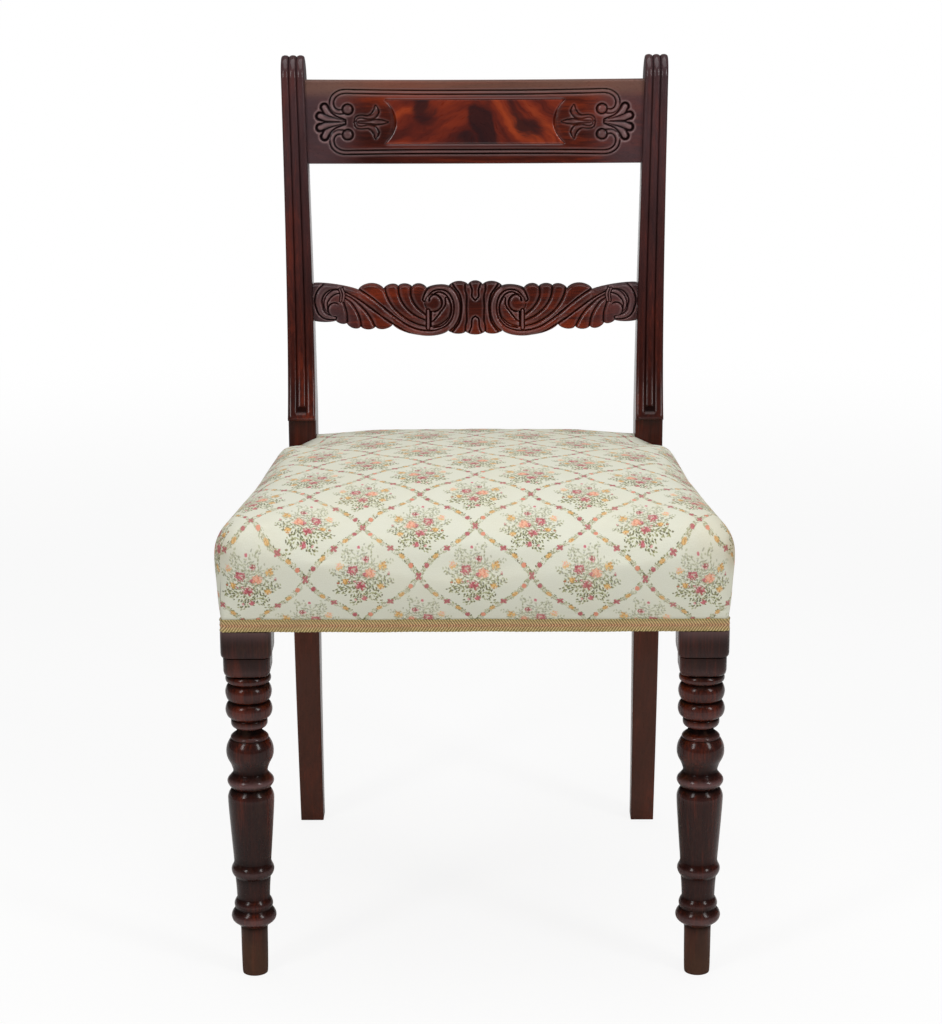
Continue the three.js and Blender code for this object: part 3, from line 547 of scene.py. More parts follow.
# %% Back posts
def post_rings():
    """Rings across the post: over its front, then back along its rear."""
    front, rear = post_side_lines()
    rings = []
    for f, r in zip(front, rear):
        ring = []
        for (y, z, in_y, in_z, reed), turn in ((f, 1), (r, -1)):
            width = float(post_width(z))
            depth = reed * stopped_depths(z) + (1 - reed) * plain_depths(width)
            x = post_centre(z) + reed_across * width / 2
            line = np.stack([x, y + in_y * depth, z + in_z * depth], axis=-1)
            ring.append(line[::turn])
        rings.append(np.concatenate(ring))
    return np.array(rings)


def post_groove_shade():
    """Painted shade for the grooves between the reeds, and for the hollow where the middle one
    stops.
    """
    inside = np.abs(reed_across) < 0.7
    groove = (reed_depths() / REED_DEPTH) ** 1.5 * inside
    marks = []
    for _, z, _, _, reed in post_side_lines()[0]:
        stopped = (stopped_depths(z) / REED_DEPTH) ** 1.5 * inside
        here = stopped if z < REEDS_START else groove
        marks.append(np.concatenate([here * reed, groove[::-1] * 0]))
    marks = np.array(marks)
    marks[2 - ROLL_ROWS:, len(reed_across):] = groove[::-1]
    return marks.ravel()


right_post_rings = post_rings()
for side, turned in (("right", np.array), ("left", both_sides)):
    mesh = tube(turned(right_post_rings), {"hollow": post_groove_shade()})
    new_piece(f"{side}_reeded_post", mesh, post_wood, [f"{side}_back_post"])

# %% [markdown]
# Carving is a drawing in depth. A board's face is a fine net of points, and every cut
# or leaf moves the points near its line into the wood. Two strokes are enough for
# nearly all of it: a groove, which is a line of a given width and depth, and a leaf,
# a rounded ridge left standing with a V cut round it. Sculpting by hand would look as
# well, but a drawing can be measured from the real rail and changed line by line.


# %% Carving strokes
def smooth_line(points, steps=7):
    """A curve through points, by the Catmull-Rom rule."""
    p = np.asarray(points, float)
    if len(p) < 3:
        return p
    p = np.concatenate([[2 * p[0] - p[1]], p, [2 * p[-1] - p[-2]]])
    t = np.arange(steps)[:, None] / steps
    parts = [
        0.5 * (2 * b + (c - a) * t + (2 * a - 5 * b + 4 * c - d) * t ** 2
               + (3 * b - a - 3 * c + d) * t ** 3)
        for a, b, c, d in zip(p, p[1:], p[2:], p[3:])
    ]
    return np.concatenate([*parts, p[-2:-1]])


def off_line(x, z, line):
    """Distance of every point to a line, and the share of the line's length there."""
    steps = np.linalg.norm(np.diff(line, axis=0), axis=1)
    starts = np.concatenate([[0], np.cumsum(steps)])
    nearest, share = np.full(x.shape, 1e9), np.zeros(x.shape)
    for (x0, z0), (x1, z1), start, step in zip(line, line[1:], starts, steps):
        dx, dz = x1 - x0, z1 - z0
        t = np.clip(((x - x0) * dx + (z - z0) * dz) / max(step ** 2, 1e-9), 0, 1)
        off = np.hypot(x - x0 - t * dx, z - z0 - t * dz)
        closer = off < nearest
        nearest = np.where(closer, off, nearest)
        share = np.where(closer, (start + t * step) / max(starts[-1], 1e-9), share)
    return nearest, share


def groove(depth, x, z, line, half, deep):
    """A V cut along a line: half its width, and how deep."""
    off = off_line(x, z, smooth_line(line))[0]
    return np.maximum(depth, deep * np.clip(1 - off / half, 0, 1))


def leaf(depth, x, z, line, halves, crown, deep, moat=1.0, flat=0.0):
    """A ridge of varying half width, its crown below the face, with a V cut round it."""
    off, share = off_line(x, z, smooth_line(line))
    half = np.interp(share, np.linspace(0, 1, len(halves)), halves)
    across = np.clip((off / np.maximum(half, 0.05) - flat) / (1 - flat), 0, 1)
    own = crown + (deep - crown) * (1 - np.sqrt(1 - across ** 2))
    cut = deep * np.clip(1 - (off - half) / moat, 0, 1)
    return np.where(off < half, own, np.maximum(depth, cut))


def softened(field, passes):
    """Every value averaged with its neighbours, as scrapers and polish soften wood."""
    for _ in range(passes):
        for axis in (0, 1):
            padded = np.pad(field, [(1, 1) if a == axis else (0, 0) for a in (0, 1)], "edge")
            before = np.take(padded, range(0, field.shape[axis]), axis)
            after = np.take(padded, range(2, field.shape[axis] + 2), axis)
            field = 0.25 * before + 0.5 * field + 0.25 * after
    return field


def hollows(depth, passes=14):
    """How far each point lies below or above what is round it, from -1 to 1."""
    return np.clip((depth - softened(depth, passes)) / 0.4, -1, 1)


# %% [markdown]
# The crest rail is a board bowed back between the posts. Its border is a reed between
# two grooves that hooks into small balls at both ends, round a four-petal palmette and
# a tulip. Only the ends are carved, so the net is fine there and coarse in the middle.

# %% Lines of the crest rail
CREST_BOTTOM, CREST_TOP = 738.6, 824.6
CREST_AXIS = 782.2
# how far the middle and the ends of the rail are lifted
CREST_SAG = (-2.4, 0.0)
TABLET_BOTTOM, TABLET_TOP = 759.4, 805.3
TABLET_MID = (TABLET_BOTTOM + TABLET_TOP) / 2
TABLET_HALF_Z = (TABLET_TOP - TABLET_BOTTOM) / 2
TABLET_HALF, TABLET_HOLLOW = 94.8, 12.0
VENEER = 1.0
BORDER = [(-3, 813.2), (60, 813.2), (121, 813.8), (137.3, 814.0), (144.5, 812.2),
          (149.4, 808.0), (151.2, 801.6), (149.3, 795.8), (144.8, 792.8), (139.6, 792.9)]
PETALS = [[(158.7, 797.4), (155.1, 791.5), (148.3, 786.7), (137.4, 784.0)],
          [(163.4, 788.2), (154.5, 785.4), (137.4, 782.9)]]
TULIP = [(126.6, 782.2), (125.0, 786.6), (120.1, 787.9), (112.6, 787.2), (107.2, 789.2),
         (104.4, 793.8), (105.0, 799.0)]
BUD = [(122.5, 782.2), (107.8, 782.2), (100.2, 782.2), (91.6, 782.2)]


def flipped(line):
    """The same line below the axis of the carving."""
    return [(x, 2 * CREST_AXIS - z) for x, z in line]


# %% Crest rail carving
def crest_depth(x, z):
    """How deep each point of the crest rail's face lies."""
    x = np.abs(x)
    depth = np.zeros(x.shape)
    for way in (list, flipped):
        for petal in PETALS:
            off, share = off_line(x, z, smooth_line(way(petal)))
            reach = np.interp(share, [0, 0.3, 1], [5.4, 4.4, 1.8])
            depth = np.maximum(depth, 2.8 * np.clip((reach - off) / 0.9, 0, 1))
    for way in (list, flipped):
        for petal in PETALS:
            depth = leaf(depth, x, z, way(petal), [3.0, 3.5, 2.5, 1.4, 1.0], 0.35, 2.8, 0.6)
        depth = leaf(depth, x, z, way(BORDER), [2.0, 2.0, 2.0, 2.0, 2.3], 0.15, 2.2, 1.0)
        ball = way([(134.6, 795.4), (134.2, 795.3)])
        depth = leaf(depth, x, z, ball, [5.3, 5.3], 0.0, 2.4, 1.3)
        depth = leaf(depth, x, z, way(TULIP), [0.8, 1.3, 1.4, 1.8, 3.0, 3.2, 0.7], 0.1, 1.7)
    depth = leaf(depth, x, z, BUD, [1.0, 1.1, 1.4, 3.0, 2.2, 0.1], 0.0, 1.7, 0.9)
    up = (z - TABLET_MID) / TABLET_HALF_Z
    end = TABLET_HALF - TABLET_HOLLOW * (1 - up ** 2)
    beyond = (x - end) / 5.0
    moon = np.where((beyond > 0) & (beyond < 1) & (np.abs(up) < 1), 1 - beyond, 0)
    depth = np.maximum(depth, moon * 1.1 * np.clip(1 - up ** 2, 0, 1))
    recess = (x < end + FIT) & (np.abs(z - TABLET_MID) < TABLET_HALF_Z + FIT)
    return np.where(recess, VENEER + FIT, depth)


# %% Bowed boards
RAIL_BOW, RAIL_THICK = 16.0, 20.0
CREST_SETBACK, MID_SETBACK = 5.0, 8.0
BACK_ROWS = 9


def bowed_face(share, z, setback):
    """A point on the front of a bowed rail: its share of the half length and height."""
    bow = setback + RAIL_BOW * (1 - share ** 2)
    x = share * (post_inner(z) - FIT)
    return np.stack([x, post_front(z) + bow, z], axis=-1)


def eased(edge, radius):
    """How far a face falls back at a distance from its edge, to round the edge off."""
    inside = np.clip(radius - edge, 0, radius)
    return radius - np.sqrt(np.clip(radius ** 2 - inside ** 2, 0, None))


def carved_board(shares, bottoms, tops, rows, setback, thickness, depth_at, ease, name, sag):
    """A bowed board with a carved front and eased edges. Sag lifts its middle and ends."""
    up = np.linspace(0, 1, rows)
    z = bottoms[:, None] + (tops - bottoms)[:, None] * up
    share = np.repeat(shares[:, None], rows, axis=1)
    front = bowed_face(share, z, setback)
    depth = depth_at(front[..., 0], z)
    edge = np.minimum(z - bottoms[:, None], tops[:, None] - z)
    depth = softened(depth, 1)
    # How far each point lies below or above its surroundings: the finish paints shade into the
    # hollows and a highlight onto the ridges.
    hollow = hollows(depth)
    front[..., 1] += depth + eased(edge, ease)
    back_z = bottoms[:, None] + (tops - bottoms)[:, None] * np.linspace(0, 1, BACK_ROWS)
    back = bowed_face(np.repeat(shares[:, None], BACK_ROWS, axis=1), back_z, setback)
    back_edge = np.minimum(back_z - bottoms[:, None], tops[:, None] - back_z)
    back[..., 1] += thickness - eased(back_edge, ease)
    rings = np.concatenate([front, back[:, ::-1]], axis=1)
    rings[..., 2] += sag[0] + (sag[1] - sag[0]) * shares[:, None] ** 2
    marks = np.concatenate([hollow, np.zeros(back_z.shape)], axis=1)
    return tube(rings, {"hollow": marks.ravel()}, name)


# %% Crest rail
# carved_from is where the fine net begins, and step is how fine it is
crest_half, carved_from, step = float(post_inner(CREST_AXIS)) - FIT, 76, 0.62
fine = np.arange(carved_from, crest_half, step)
coarse = np.linspace(0, carved_from - 1, 26)
crest_places = np.concatenate([coarse, fine, [crest_half]]) / crest_half
crest_shares = np.concatenate([-crest_places[:0:-1], crest_places])
level = np.ones(len(crest_shares))
crest_mesh = carved_board(crest_shares, CREST_BOTTOM * level, CREST_TOP * level, 140,
                          CREST_SETBACK, RAIL_THICK, crest_depth, 1.2, "crest", CREST_SAG)
new_piece("carved_crest_rail", crest_mesh, rail_wood, ["crest_rail"])

# %% [markdown]
# The tablet is a thin slip of flame veneer with hollow ends, let into the crest rail.
# Flame figure comes from the fork of a tree: broad plumes of orange and near black
# that sweep up and outwards. Two noises bend the plumes, and a fine one is the fibre.
# Noise alone puts its dark plumes anywhere, so a leaning band in the middle and three
# soft ovals say where they gather.

# %% Flame veneer
flame = Recipe("flame_veneer", Coat_Roughness=0.1, Coat_Weight=0.4, Specular_IOR_Level=0.25)
x, _, z = flame.parts(flame.node("ShaderNodeTexCoord", {}, (), "Object"))
bend = flame.noise(flame.joined(x * 14, 0.0, z * 22), 1, 3, 0.6) - 0.5
sweep = (z - 0.782) * 0.9 + abs(x) * 0.55 + bend * 0.045
plume = flame.noise(flame.joined(x * 16 + sweep * 30, 3.1, sweep * 26), 1, 3, 0.62)
dark_plume = flame.noise(flame.joined(x * 22 + sweep * 20, 7.7, sweep * 34), 1, 2, 0.5)
fibre = flame.noise(flame.joined(x * 130, 1.7, sweep * 1500), 1, 3, 0.6)
tone = plume.rise(0.25, 0.75) * 0.75 + fibre * 0.3


def gathered(middle_x, middle_z, narrow, low):
    """A soft oval: where its middle is, and how fast it fades across and up."""
    across, upward = x - middle_x, z - middle_z
    return 1 - (across * across * narrow + upward * upward * low).rise(0, 1)


leaning = x - 0.008 + sweep * 0.15
middle_plume = 1 - (leaning * leaning * 3200).rise(0, 1)
clouds = gathered(-0.052, 0.79, 2600, 2200).greater(middle_plume)
clouds = clouds.greater(gathered(-0.012, 0.762, 900, 5200)) * 0.26
clouds = clouds + gathered(0.062, 0.77, 1500, 3000) * 0.16
colour = flame.ramp(tone, [(0.0, rgb(46, 14, 12)), (0.35, rgb(82, 24, 15)),
                           (0.62, rgb(116, 38, 18)), (1.0, rgb(158, 62, 26))])
feathered = dark_plume + clouds + (fibre - 0.5) * 0.3 + (plume - 0.5) * 0.25
colour = flame.mix(feathered.rise(0.52, 0.76) * 0.88, colour, rgba(30, 12, 16))
flame_wood = flame.finish(Base_Color=colour, Roughness=0.24 + fibre * 0.1)

# %% Flame tablet
TABLET_PROUD, TABLET_EASE = 0.25, 0.5
share = np.linspace(-1, 1, 150)[:, None]
up = np.linspace(-1, 1, 44)[None, :]
end = TABLET_HALF - TABLET_HOLLOW * (1 - up ** 2)
x = share * end
z = np.broadcast_to(TABLET_MID + up * TABLET_HALF_Z, x.shape)
edge = np.minimum((1 - np.abs(share)) * end, (1 - np.abs(up)) * TABLET_HALF_Z)
y = post_front(z) + CREST_SETBACK + RAIL_BOW * (1 - (x / (post_inner(z) - FIT)) ** 2)
z = z + CREST_SAG[0] + (CREST_SAG[1] - CREST_SAG[0]) * (x / crest_half) ** 2
front = np.stack([x, y - TABLET_PROUD + eased(edge, TABLET_EASE), z], axis=-1)
back = np.stack([x, y + VENEER, z], axis=-1)
tablet_mesh = tube(np.concatenate([front, back[:, ::-1]], axis=1), name="tablet")
new_piece("flame_tablet", tablet_mesh, flame_wood, ["crest_flame_panel"])

# %% [markdown]
# The mid rail is carved from edge to edge: on each side an S-shaped stem runs from one
# volute to another, with a fan of fluted leaves below it and another above. The edge
# follows the lobes of the leaves. The fans are cut first, the stem is left standing
# over them, and the volutes, the collars and the middle are cut last.

# %% Mid rail edges
MID_BOTTOM = NOSE_Z + BACK_RISE * 0.2232
MID_HEIGHT = 53.2
MID_SAG = (0.0, 2.3)
# share of the half length, share of the height, and rise of the arch that follows
MID_TOP_KNOTS = [(0.046, 0.944, 0.082), (0.166, 0.92, 0.046), (0.303, 0.88, 0.077),
                 (0.394, 0.907, 0.056), (0.48, 0.922, 0.067), (0.571, 0.87, 0.12),
                 (0.728, 0.852, 0.041), (1, 0.991, 0)]
MID_BOTTOM_KNOTS = [(0.06, 0.045, -0.054), (0.17, 0.067, -0.161), (0.515, 0.196, -0.069),
                    (0.623, 0.15, -0.056), (0.714, 0.159, -0.072), (0.801, 0.233, -0.04),
                    (0.866, 0.28, -0.029), (1, 0.285, 0)]


def scalloped(shares, knots, middle_rise):
    """Height of a lobed edge: a low arch between each two knots."""
    knots = np.array([(-knots[0][0], knots[0][1], middle_rise), *knots])
    distance = np.abs(shares)
    k = np.clip(np.searchsorted(knots[:, 0], distance), 1, len(knots) - 1)
    before, after = knots[k - 1], knots[k]
    t = (distance - before[:, 0]) / (after[:, 0] - before[:, 0])
    arch = np.sqrt(np.clip(4 * t * (1 - t), 0, 1)) ** 1.4
    line = before[:, 1] + (after[:, 1] - before[:, 1]) * t + before[:, 2] * arch
    return MID_BOTTOM + MID_HEIGHT * line


# %% Lines of the mid rail
LOWER_FAN = [
    [(141.0, 591.2), (139.0, 585.7), (137.2, 578.9), (136.7, 569.7)],
    [(139.5, 594.5), (132.8, 589.7), (126.8, 581.0), (123.3, 573.1), (121.9, 564.6)],
    [(138.8, 597.8), (129.8, 592.7), (119.5, 583.3), (112.3, 574.0), (106.6, 563.0)],
]
UPPER_FAN = [
    [(97.6, 608.4), (94.9, 597.8), (90.1, 588.0), (82.8, 579.3), (73.1, 571.9),
     (63.3, 566.8), (53.5, 564.2)],
    [(82.4, 609.3), (81.8, 599.4), (78.4, 590.2), (72.4, 582.2), (63.9, 575.3),
     (53.5, 570.3)],
    [(67.8, 610.6), (69.2, 600.3), (67.4, 592.4), (61.9, 583.8), (53.4, 576.4)],
]
STEM = [(150.0, 573.6), (158.4, 575.2), (163.9, 579.4), (166.2, 585.4), (167.4, 592.6),
        (164.4, 600.6), (157.6, 606.3), (148.6, 608.0), (140.0, 606.2), (130.0, 601.6),
        (119.2, 595.0), (107.2, 586.2), (95.4, 576.8), (83.5, 568.4), (71.3, 561.0),
        (59.1, 557.2), (46.8, 556.4), (34.5, 559.2), (26.0, 565.2), (20.8, 574.6),
        (19.7, 587.0), (23.2, 597.8), (29.8, 604.0), (37.8, 605.8), (45.4, 604.2),
        (51.0, 599.4), (54.0, 592.8)]
STEM_HALVES = [1.6, 3.2, 3.9, 4.2, 4.3, 4.4, 4.7, 4.8, 4.9, 4.6, 4.2, 3.6, 3.2, 3.1, 3.2,
               3.3, 3.5, 3.5, 3.4, 3.2, 2.9, 2.6, 2.2]
MID_CUT = 3.2
EYE_CROWN, EYE_DITCH = 0.3, 1.6


# %% Strokes of the mid rail
def flutes(x, z, lines):
    """Rounded flutes between V cuts along the lines."""
    off = np.min([off_line(x, z, smooth_line(line))[0] for line in lines], axis=0)
    across = np.clip(1 - off / 4.0, 0, 1)
    return 0.5 + (MID_CUT - 0.5) * (1 - np.sqrt(1 - across ** 2))


def disc(depth, x, z, centre, radius, way, least):
    """A flat round eye, its edge cut deep towards one side and left shallow away from it."""
    right_of, over = x - centre[0], z - centre[1]
    off = np.hypot(right_of, over)
    facing = (right_of * way[0] + over * way[1]) / np.maximum(off, 0.1)
    cut = np.clip(least + 1.2 * (facing + 0.35), least, 1)
    edge = np.clip((off / radius - 0.55) / 0.45, 0, 1)
    own = EYE_CROWN + (MID_CUT - EYE_CROWN) * cut * (1 - np.sqrt(1 - edge ** 2))
    ditch = MID_CUT * cut * np.clip(1 - (off - radius) / EYE_DITCH, 0, 1)
    return np.where(off < radius, own, np.maximum(depth, ditch))


# %% Mid rail carving
def mid_depth(x, z):
    """How deep each point of the mid rail's face lies, from the fans to the middle."""
    x = np.abs(x)
    depth = flutes(x, z, LOWER_FAN + UPPER_FAN)
    depth = np.where(x < 31, 0.9, depth)
    depth = groove(depth, x, z, [(10.3, 611), (10.9, 603), (9.2, 596), (9.6, 583.7),
                                 (9.2, 571), (10.6, 564), (10.6, 555)], 2.6, 2.3)
    depth = groove(depth, x, z, [(27.0, 612), (21.5, 604), (16.4, 596), (14.9, 584),
                                 (16.8, 570), (22.6, 561), (29.0, 554)], 2.4, 3.2)
    depth = leaf(depth, x, z, STEM, STEM_HALVES, 0.0, MID_CUT, 1.1, 0.15)
    bead = [(127.0, 604.6), (115.5, 598.0), (103.6, 589.3), (92.0, 579.7), (80.8, 571.5),
            (70.0, 565.2), (58.5, 561.2), (48.0, 560.6)]
    depth = groove(depth, x, z, bead, 0.9, 1.5)
    inner = (x - 37.5) ** 2 / 15.2 ** 2 + (z - 582) ** 2 / 20.5 ** 2 < 1
    depth = np.where(inner & (depth > 1.0), np.minimum(depth, 2.2), depth)
    pad = [(47.0, 566.0), (40.0, 569.5), (33.0, 576.5), (29.4, 585.5), (31.0, 593.5)]
    depth = leaf(depth, x, z, pad, [2.2, 4.6, 5.6, 3.8, 1.2], 0.6, MID_CUT, 0.9)
    ring = [(46.5, 596.9), (39.1, 600.4), (31.4, 597.2), (26.4, 588.6), (25.6, 579.0),
            (28.6, 571.2), (35.7, 564.8), (44.9, 562.6)]
    depth = groove(depth, x, z, ring, 1.4, MID_CUT)
    depth = disc(depth, x, z, (44.8, 588.8), 9.2, (-0.8, 0.1), 0.45)
    curl = [(36.2, 584.4), (35.6, 590.6), (39.4, 596.0), (44.8, 597.4), (48.6, 594.6),
            (49.4, 591.2)]
    depth = groove(depth, x, z, curl, 1.5, 2.8)
    lune = [(144.3, 601.4), (151.0, 600.4), (156.6, 596.0), (159.6, 589.8), (159.0, 583.4),
            (156.6, 580.0)]
    depth = leaf(depth, x, z, lune, [1.6, 2.5, 2.6, 2.1, 1.6, 0.6], 0.5, MID_CUT, 0.9)
    depth = disc(depth, x, z, (150.4, 582.4), 6.9, (0.75, 0.66), 0.0)
    for place in (0.0, 2.5):
        bar = [(144.6 - place, 604.0), (142.8 - place, 598.4), (143.8 - place, 591.4)]
        depth = leaf(depth, x, z, bar, [1.3, 1.5, 1.2], 0.1, 2.6, 0.7)
    depth = leaf(depth, x, z, [(50.6, 580.6), (50.7, 562.2)], [1.9, 1.9], 0.3, MID_CUT, 0.7)
    depth = groove(depth, x, z, [(47.4, 579.6), (47.8, 564.0)], 1.3, 4.4)
    u_top = [(6.5, 610.1), (3.6, 603.0), (3.5, 595.6), (0, 591.4)]
    u_low = [(8.0, 555.6), (4.4, 563.1), (3.6, 571.4), (0, 574.6)]
    depth = groove(depth, x, z, u_top, 1.3, 3.4)
    depth = groove(depth, x, z, u_low, 1.3, 3.4)
    return depth


# %% Mid rail
MID_LEVEL, MIDDLE_RISE_LOW, MIDDLE_RISE_HIGH = 587, -0.06, 0.081
mid_half = float(post_inner(MID_LEVEL)) - FIT
mid_shares = np.linspace(-1, 1, int(2 * mid_half / 0.5) + 1)
mid_bottoms = scalloped(mid_shares, MID_BOTTOM_KNOTS, MIDDLE_RISE_LOW)
mid_tops = scalloped(mid_shares, MID_TOP_KNOTS, MIDDLE_RISE_HIGH)
mid_mesh = carved_board(mid_shares, mid_bottoms, mid_tops, 112, MID_SETBACK, RAIL_THICK,
                        mid_depth, 2.6, "mid_rail", MID_SAG)
new_piece("carved_scroll_rail", mid_mesh, rail_wood, ["carved_mid_rail"])

# %% [markdown]
# A turned leg is a profile spun round its axis. The lathe leaves round beads that meet
# in sharp creases, so the profile is written as runs: the curve is smooth inside a run
# and breaks where one ends. Above the turning stand two blocks that were left square,
# their corners rounded by hand, and the square top that the rails are joined into.

# %% Turning of a leg
TURNED_HEIGHT, TURNED_RADIUS = 306.0, 22.8
# height up the turned part and radius, both as shares
TURNING = [
    [(0, 0.48), (0.004, 0.54), (0.06, 0.56), (0.145, 0.57), (0.162, 0.575)],
    [(0.162, 0.6), (0.17, 0.72), (0.181, 0.89), (0.194, 0.956), (0.208, 0.91), (0.221, 0.78)],
    [(0.221, 0.78), (0.235, 0.822), (0.247, 0.78), (0.257, 0.695)],
    [(0.257, 0.695), (0.29, 0.715), (0.328, 0.75)],
    [(0.328, 0.76), (0.339, 0.86), (0.35, 0.906), (0.36, 0.89), (0.369, 0.83), (0.379, 0.785)],
    [(0.379, 0.785), (0.49, 0.895), (0.583, 0.974), (0.605, 0.947), (0.616, 0.877),
     (0.625, 0.79)],
    [(0.625, 0.79), (0.635, 0.904), (0.646, 0.98), (0.656, 0.96), (0.666, 0.85),
     (0.676, 0.735)],
    [(0.676, 0.735), (0.686, 0.725)],
    [(0.686, 0.725), (0.706, 0.818), (0.726, 0.952), (0.745, 1), (0.765, 0.968),
     (0.781, 0.875), (0.788, 0.81)],
    [(0.788, 0.77), (0.791, 0.765)],
    [(0.791, 0.805), (0.796, 0.79), (0.801, 0.73), (0.807, 0.62), (0.814, 0.54), (0.824, 0.53)],
    [(0.824, 0.58), (0.829, 0.7), (0.838, 0.765), (0.85, 0.76), (0.856, 0.71)],
    [(0.856, 0.76), (0.866, 0.917), (0.884, 0.985), (0.902, 0.93), (0.913, 0.79)],
    [(0.913, 0.79), (0.922, 0.91), (0.942, 0.975), (0.96, 0.92), (0.971, 0.8)],
    [(0.971, 0.8), (0.979, 0.93), (0.989, 0.955), (0.998, 0.9), (1.003, 0.8)],
]
# height, half width and corner radius of each ring of the square blocks
LOWER_BLOCK = [(307.1, 18.2, 9), (307.6, 20.2, 10), (309.4, 21.6, 10), (312.5, 22.3, 10),
               (320, 22.4, 10), (325.9, 22.3, 9), (326.4, 21.6, 9)]
UPPER_BLOCK = [(326.9, 21.7, 9), (327.3, 23.2, 8), (328.6, 23.9, 8), (331, 24.2, 8),
               (339, 24.3, 8), (353.2, 24.3, 8), (353.5, 24.0, 8)]
# the square top inside the seat is slimmer, to stand clear of the cloth's corner
HIDDEN_TOP = [(353.6, 18.4, 14), (410.0, 18.4, 14)]
LEG_SIDES = 72
LEG_TURNS = np.arange(LEG_SIDES) * 2 * math.pi / LEG_SIDES


def square_ring(half, corner):
    """Distance from the axis to a square with rounded corners, all the way round."""
    c, s = np.abs(np.cos(LEG_TURNS)), np.abs(np.sin(LEG_TURNS))
    flat = half - corner
    to_side = half / np.maximum(c, s)
    b = flat * (c + s)
    to_corner = b + np.sqrt(np.clip(b ** 2 - 2 * flat ** 2 + corner ** 2, 0, None))
    return np.where(half * np.minimum(c, s) / np.maximum(c, s) < flat, to_side, to_corner)


# %% Front legs
def leg_rings():
    """Rings of the right leg from the foot up, with their heights and mean radii."""
    stack = []
    for run in TURNING:
        steps = 1 if len(run) == 2 else 5
        line = smooth_line([(up * TURNED_HEIGHT, radius * TURNED_RADIUS) for up, radius in run],
                           steps)
        stack += [(max(z, 0.0), np.full(LEG_SIDES, radius)) for z, radius in line]
    stack += [(z, square_ring(half, corner))
              for z, half, corner in LOWER_BLOCK + UPPER_BLOCK + HIDDEN_TOP]
    rings = [np.stack([LEG_AXIS_X + r * np.cos(LEG_TURNS), r * np.sin(LEG_TURNS),
                       np.full(LEG_SIDES, z)], axis=-1) for z, r in stack]
    heights, sizes = zip(*[(z, radii.mean()) for z, radii in stack])
    return np.array(rings), np.array(heights), np.array(sizes)


FOOT_WEAR_HEIGHT = 52
right_leg_rings, ring_heights, ring_sizes = leg_rings()
sizes_around = np.interp(ring_heights[:, None] + np.linspace(-7, 7, 15), ring_heights,
                         ring_sizes).mean(axis=1)
# Positive in the lathe's creases and negative on the beads: the finish paints shade into the
# creases and a highlight onto the beads.
crease = np.clip((sizes_around - ring_sizes) / 2.4, -1, 1)
foot_wear = np.clip(1 - ring_heights / FOOT_WEAR_HEIGHT, 0, 1) ** 0.6
for side, turned in (("right", np.array), ("left", both_sides)):
    marks = {"hollow": np.repeat(crease, LEG_SIDES), "worn": np.repeat(foot_wear, LEG_SIDES)}
    mesh = tube(turned(right_leg_rings), marks)
    new_piece(f"{side}_turned_leg", mesh, leg_wood, [f"{side}_front_leg"])

# %% [markdown]
# Inside the seat is a frame of beech, which nobody sees but an upholsterer. Its solids
# have the right shape already, so they stay, and only their finish is made here: pale
# straw wood with the short dark flecks of beech, dusty with age. The screws are iron.
# A carried piece takes its finish in its material slot, and its mesh isn't touched.


# %% Beech and iron
def beech(name, grain):
    recipe = Recipe(name, Specular_IOR_Level=0.3)
    places = grain_places(recipe, grain)
    streaks = grain_noise(recipe, places, 240, 12, 3)
    flecks = grain_noise(recipe, places, 900, 230, 1)
    grime = grain_noise(recipe, places, 12, 12, 4, 0.65)
    colour = recipe.ramp(streaks, [(0.25, rgb(150, 112, 72)), (0.75, rgb(196, 158, 112))])
    colour = recipe.mix(flecks.rise(0.62, 0.7) * 0.6, colour, rgba(112, 72, 42))
    colour = recipe.mix(grime.rise(0.45, 0.8) * 0.5, colour, rgba(92, 66, 44))
    skin = recipe.bump(streaks + flecks * 0.5, 0.0002)
    return recipe.finish(Base_Color=colour, Roughness=0.62 + grime * 0.25, Normal=skin)


iron = Recipe("old_iron_screws", Metallic=1.0)
place = iron.node("ShaderNodeTexCoord", {}, (), "Object")
rust = iron.noise(place, 900, 4, 0.7)
colour = iron.mix(rust.rise(0.45, 0.65), rgba(126, 120, 112), rgba(96, 56, 34))
old_iron = iron.finish(Base_Color=colour, Roughness=0.42 + rust * 0.4)

beech_across, beech_along = beech("beech_across", "x"), beech("beech_along", "y")
screws = [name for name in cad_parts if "screw" in name]
frame_wood = [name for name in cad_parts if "seat_rail" in name or "corner_block" in name]
for name in screws:
    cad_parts[name].data.materials[0] = old_iron
for name in frame_wood:
    along = name.startswith(("left_side", "right_side"))
    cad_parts[name].data.materials[0] = beech_along if along else beech_across
print("beech on", len(frame_wood), "carried pieces, iron on", len(screws))

# %% [markdown]
# Jute webbing is tacked over the frame in both directions and woven over and under
# itself. A strap is a long tube with a flat section, bent where it rides over another.
# The threads are too fine for a mesh, so the finish draws them as two crossed waves.
# Hessian lies on it as one sheet. A thin sheet is drawn as a single skin and given its
# thickness by a Solidify modifier, which keeps both faces alike.

# %% Jute
JUTE_THREAD = 0.0023
jute = Recipe("jute", Specular_IOR_Level=0.2, Sheen_Weight=0.2, Sheen_Roughness=0.6)
x, y, z = jute.parts(jute.node("ShaderNodeTexCoord", {}, (), "Object"))
warp = (x * 2 * math.pi / JUTE_THREAD).maths("SINE")
weft = (y * 2 * math.pi / JUTE_THREAD).maths("SINE")
weave = warp * weft
fluff = jute.noise(jute.joined(x, y, z), 700, 3, 0.7)
colour = jute.mix((weave * 0.4 + fluff).rise(0.1, 0.9), rgba(112, 84, 50), rgba(176, 142, 94))
skin = jute.bump(weave * 0.5 + fluff * 0.5, 0.0005)
jute_cloth = jute.finish(Base_Color=colour, Roughness=0.85 + fluff * 0.1, Normal=skin)
print("jute threads every", JUTE_THREAD / MM, "mm")

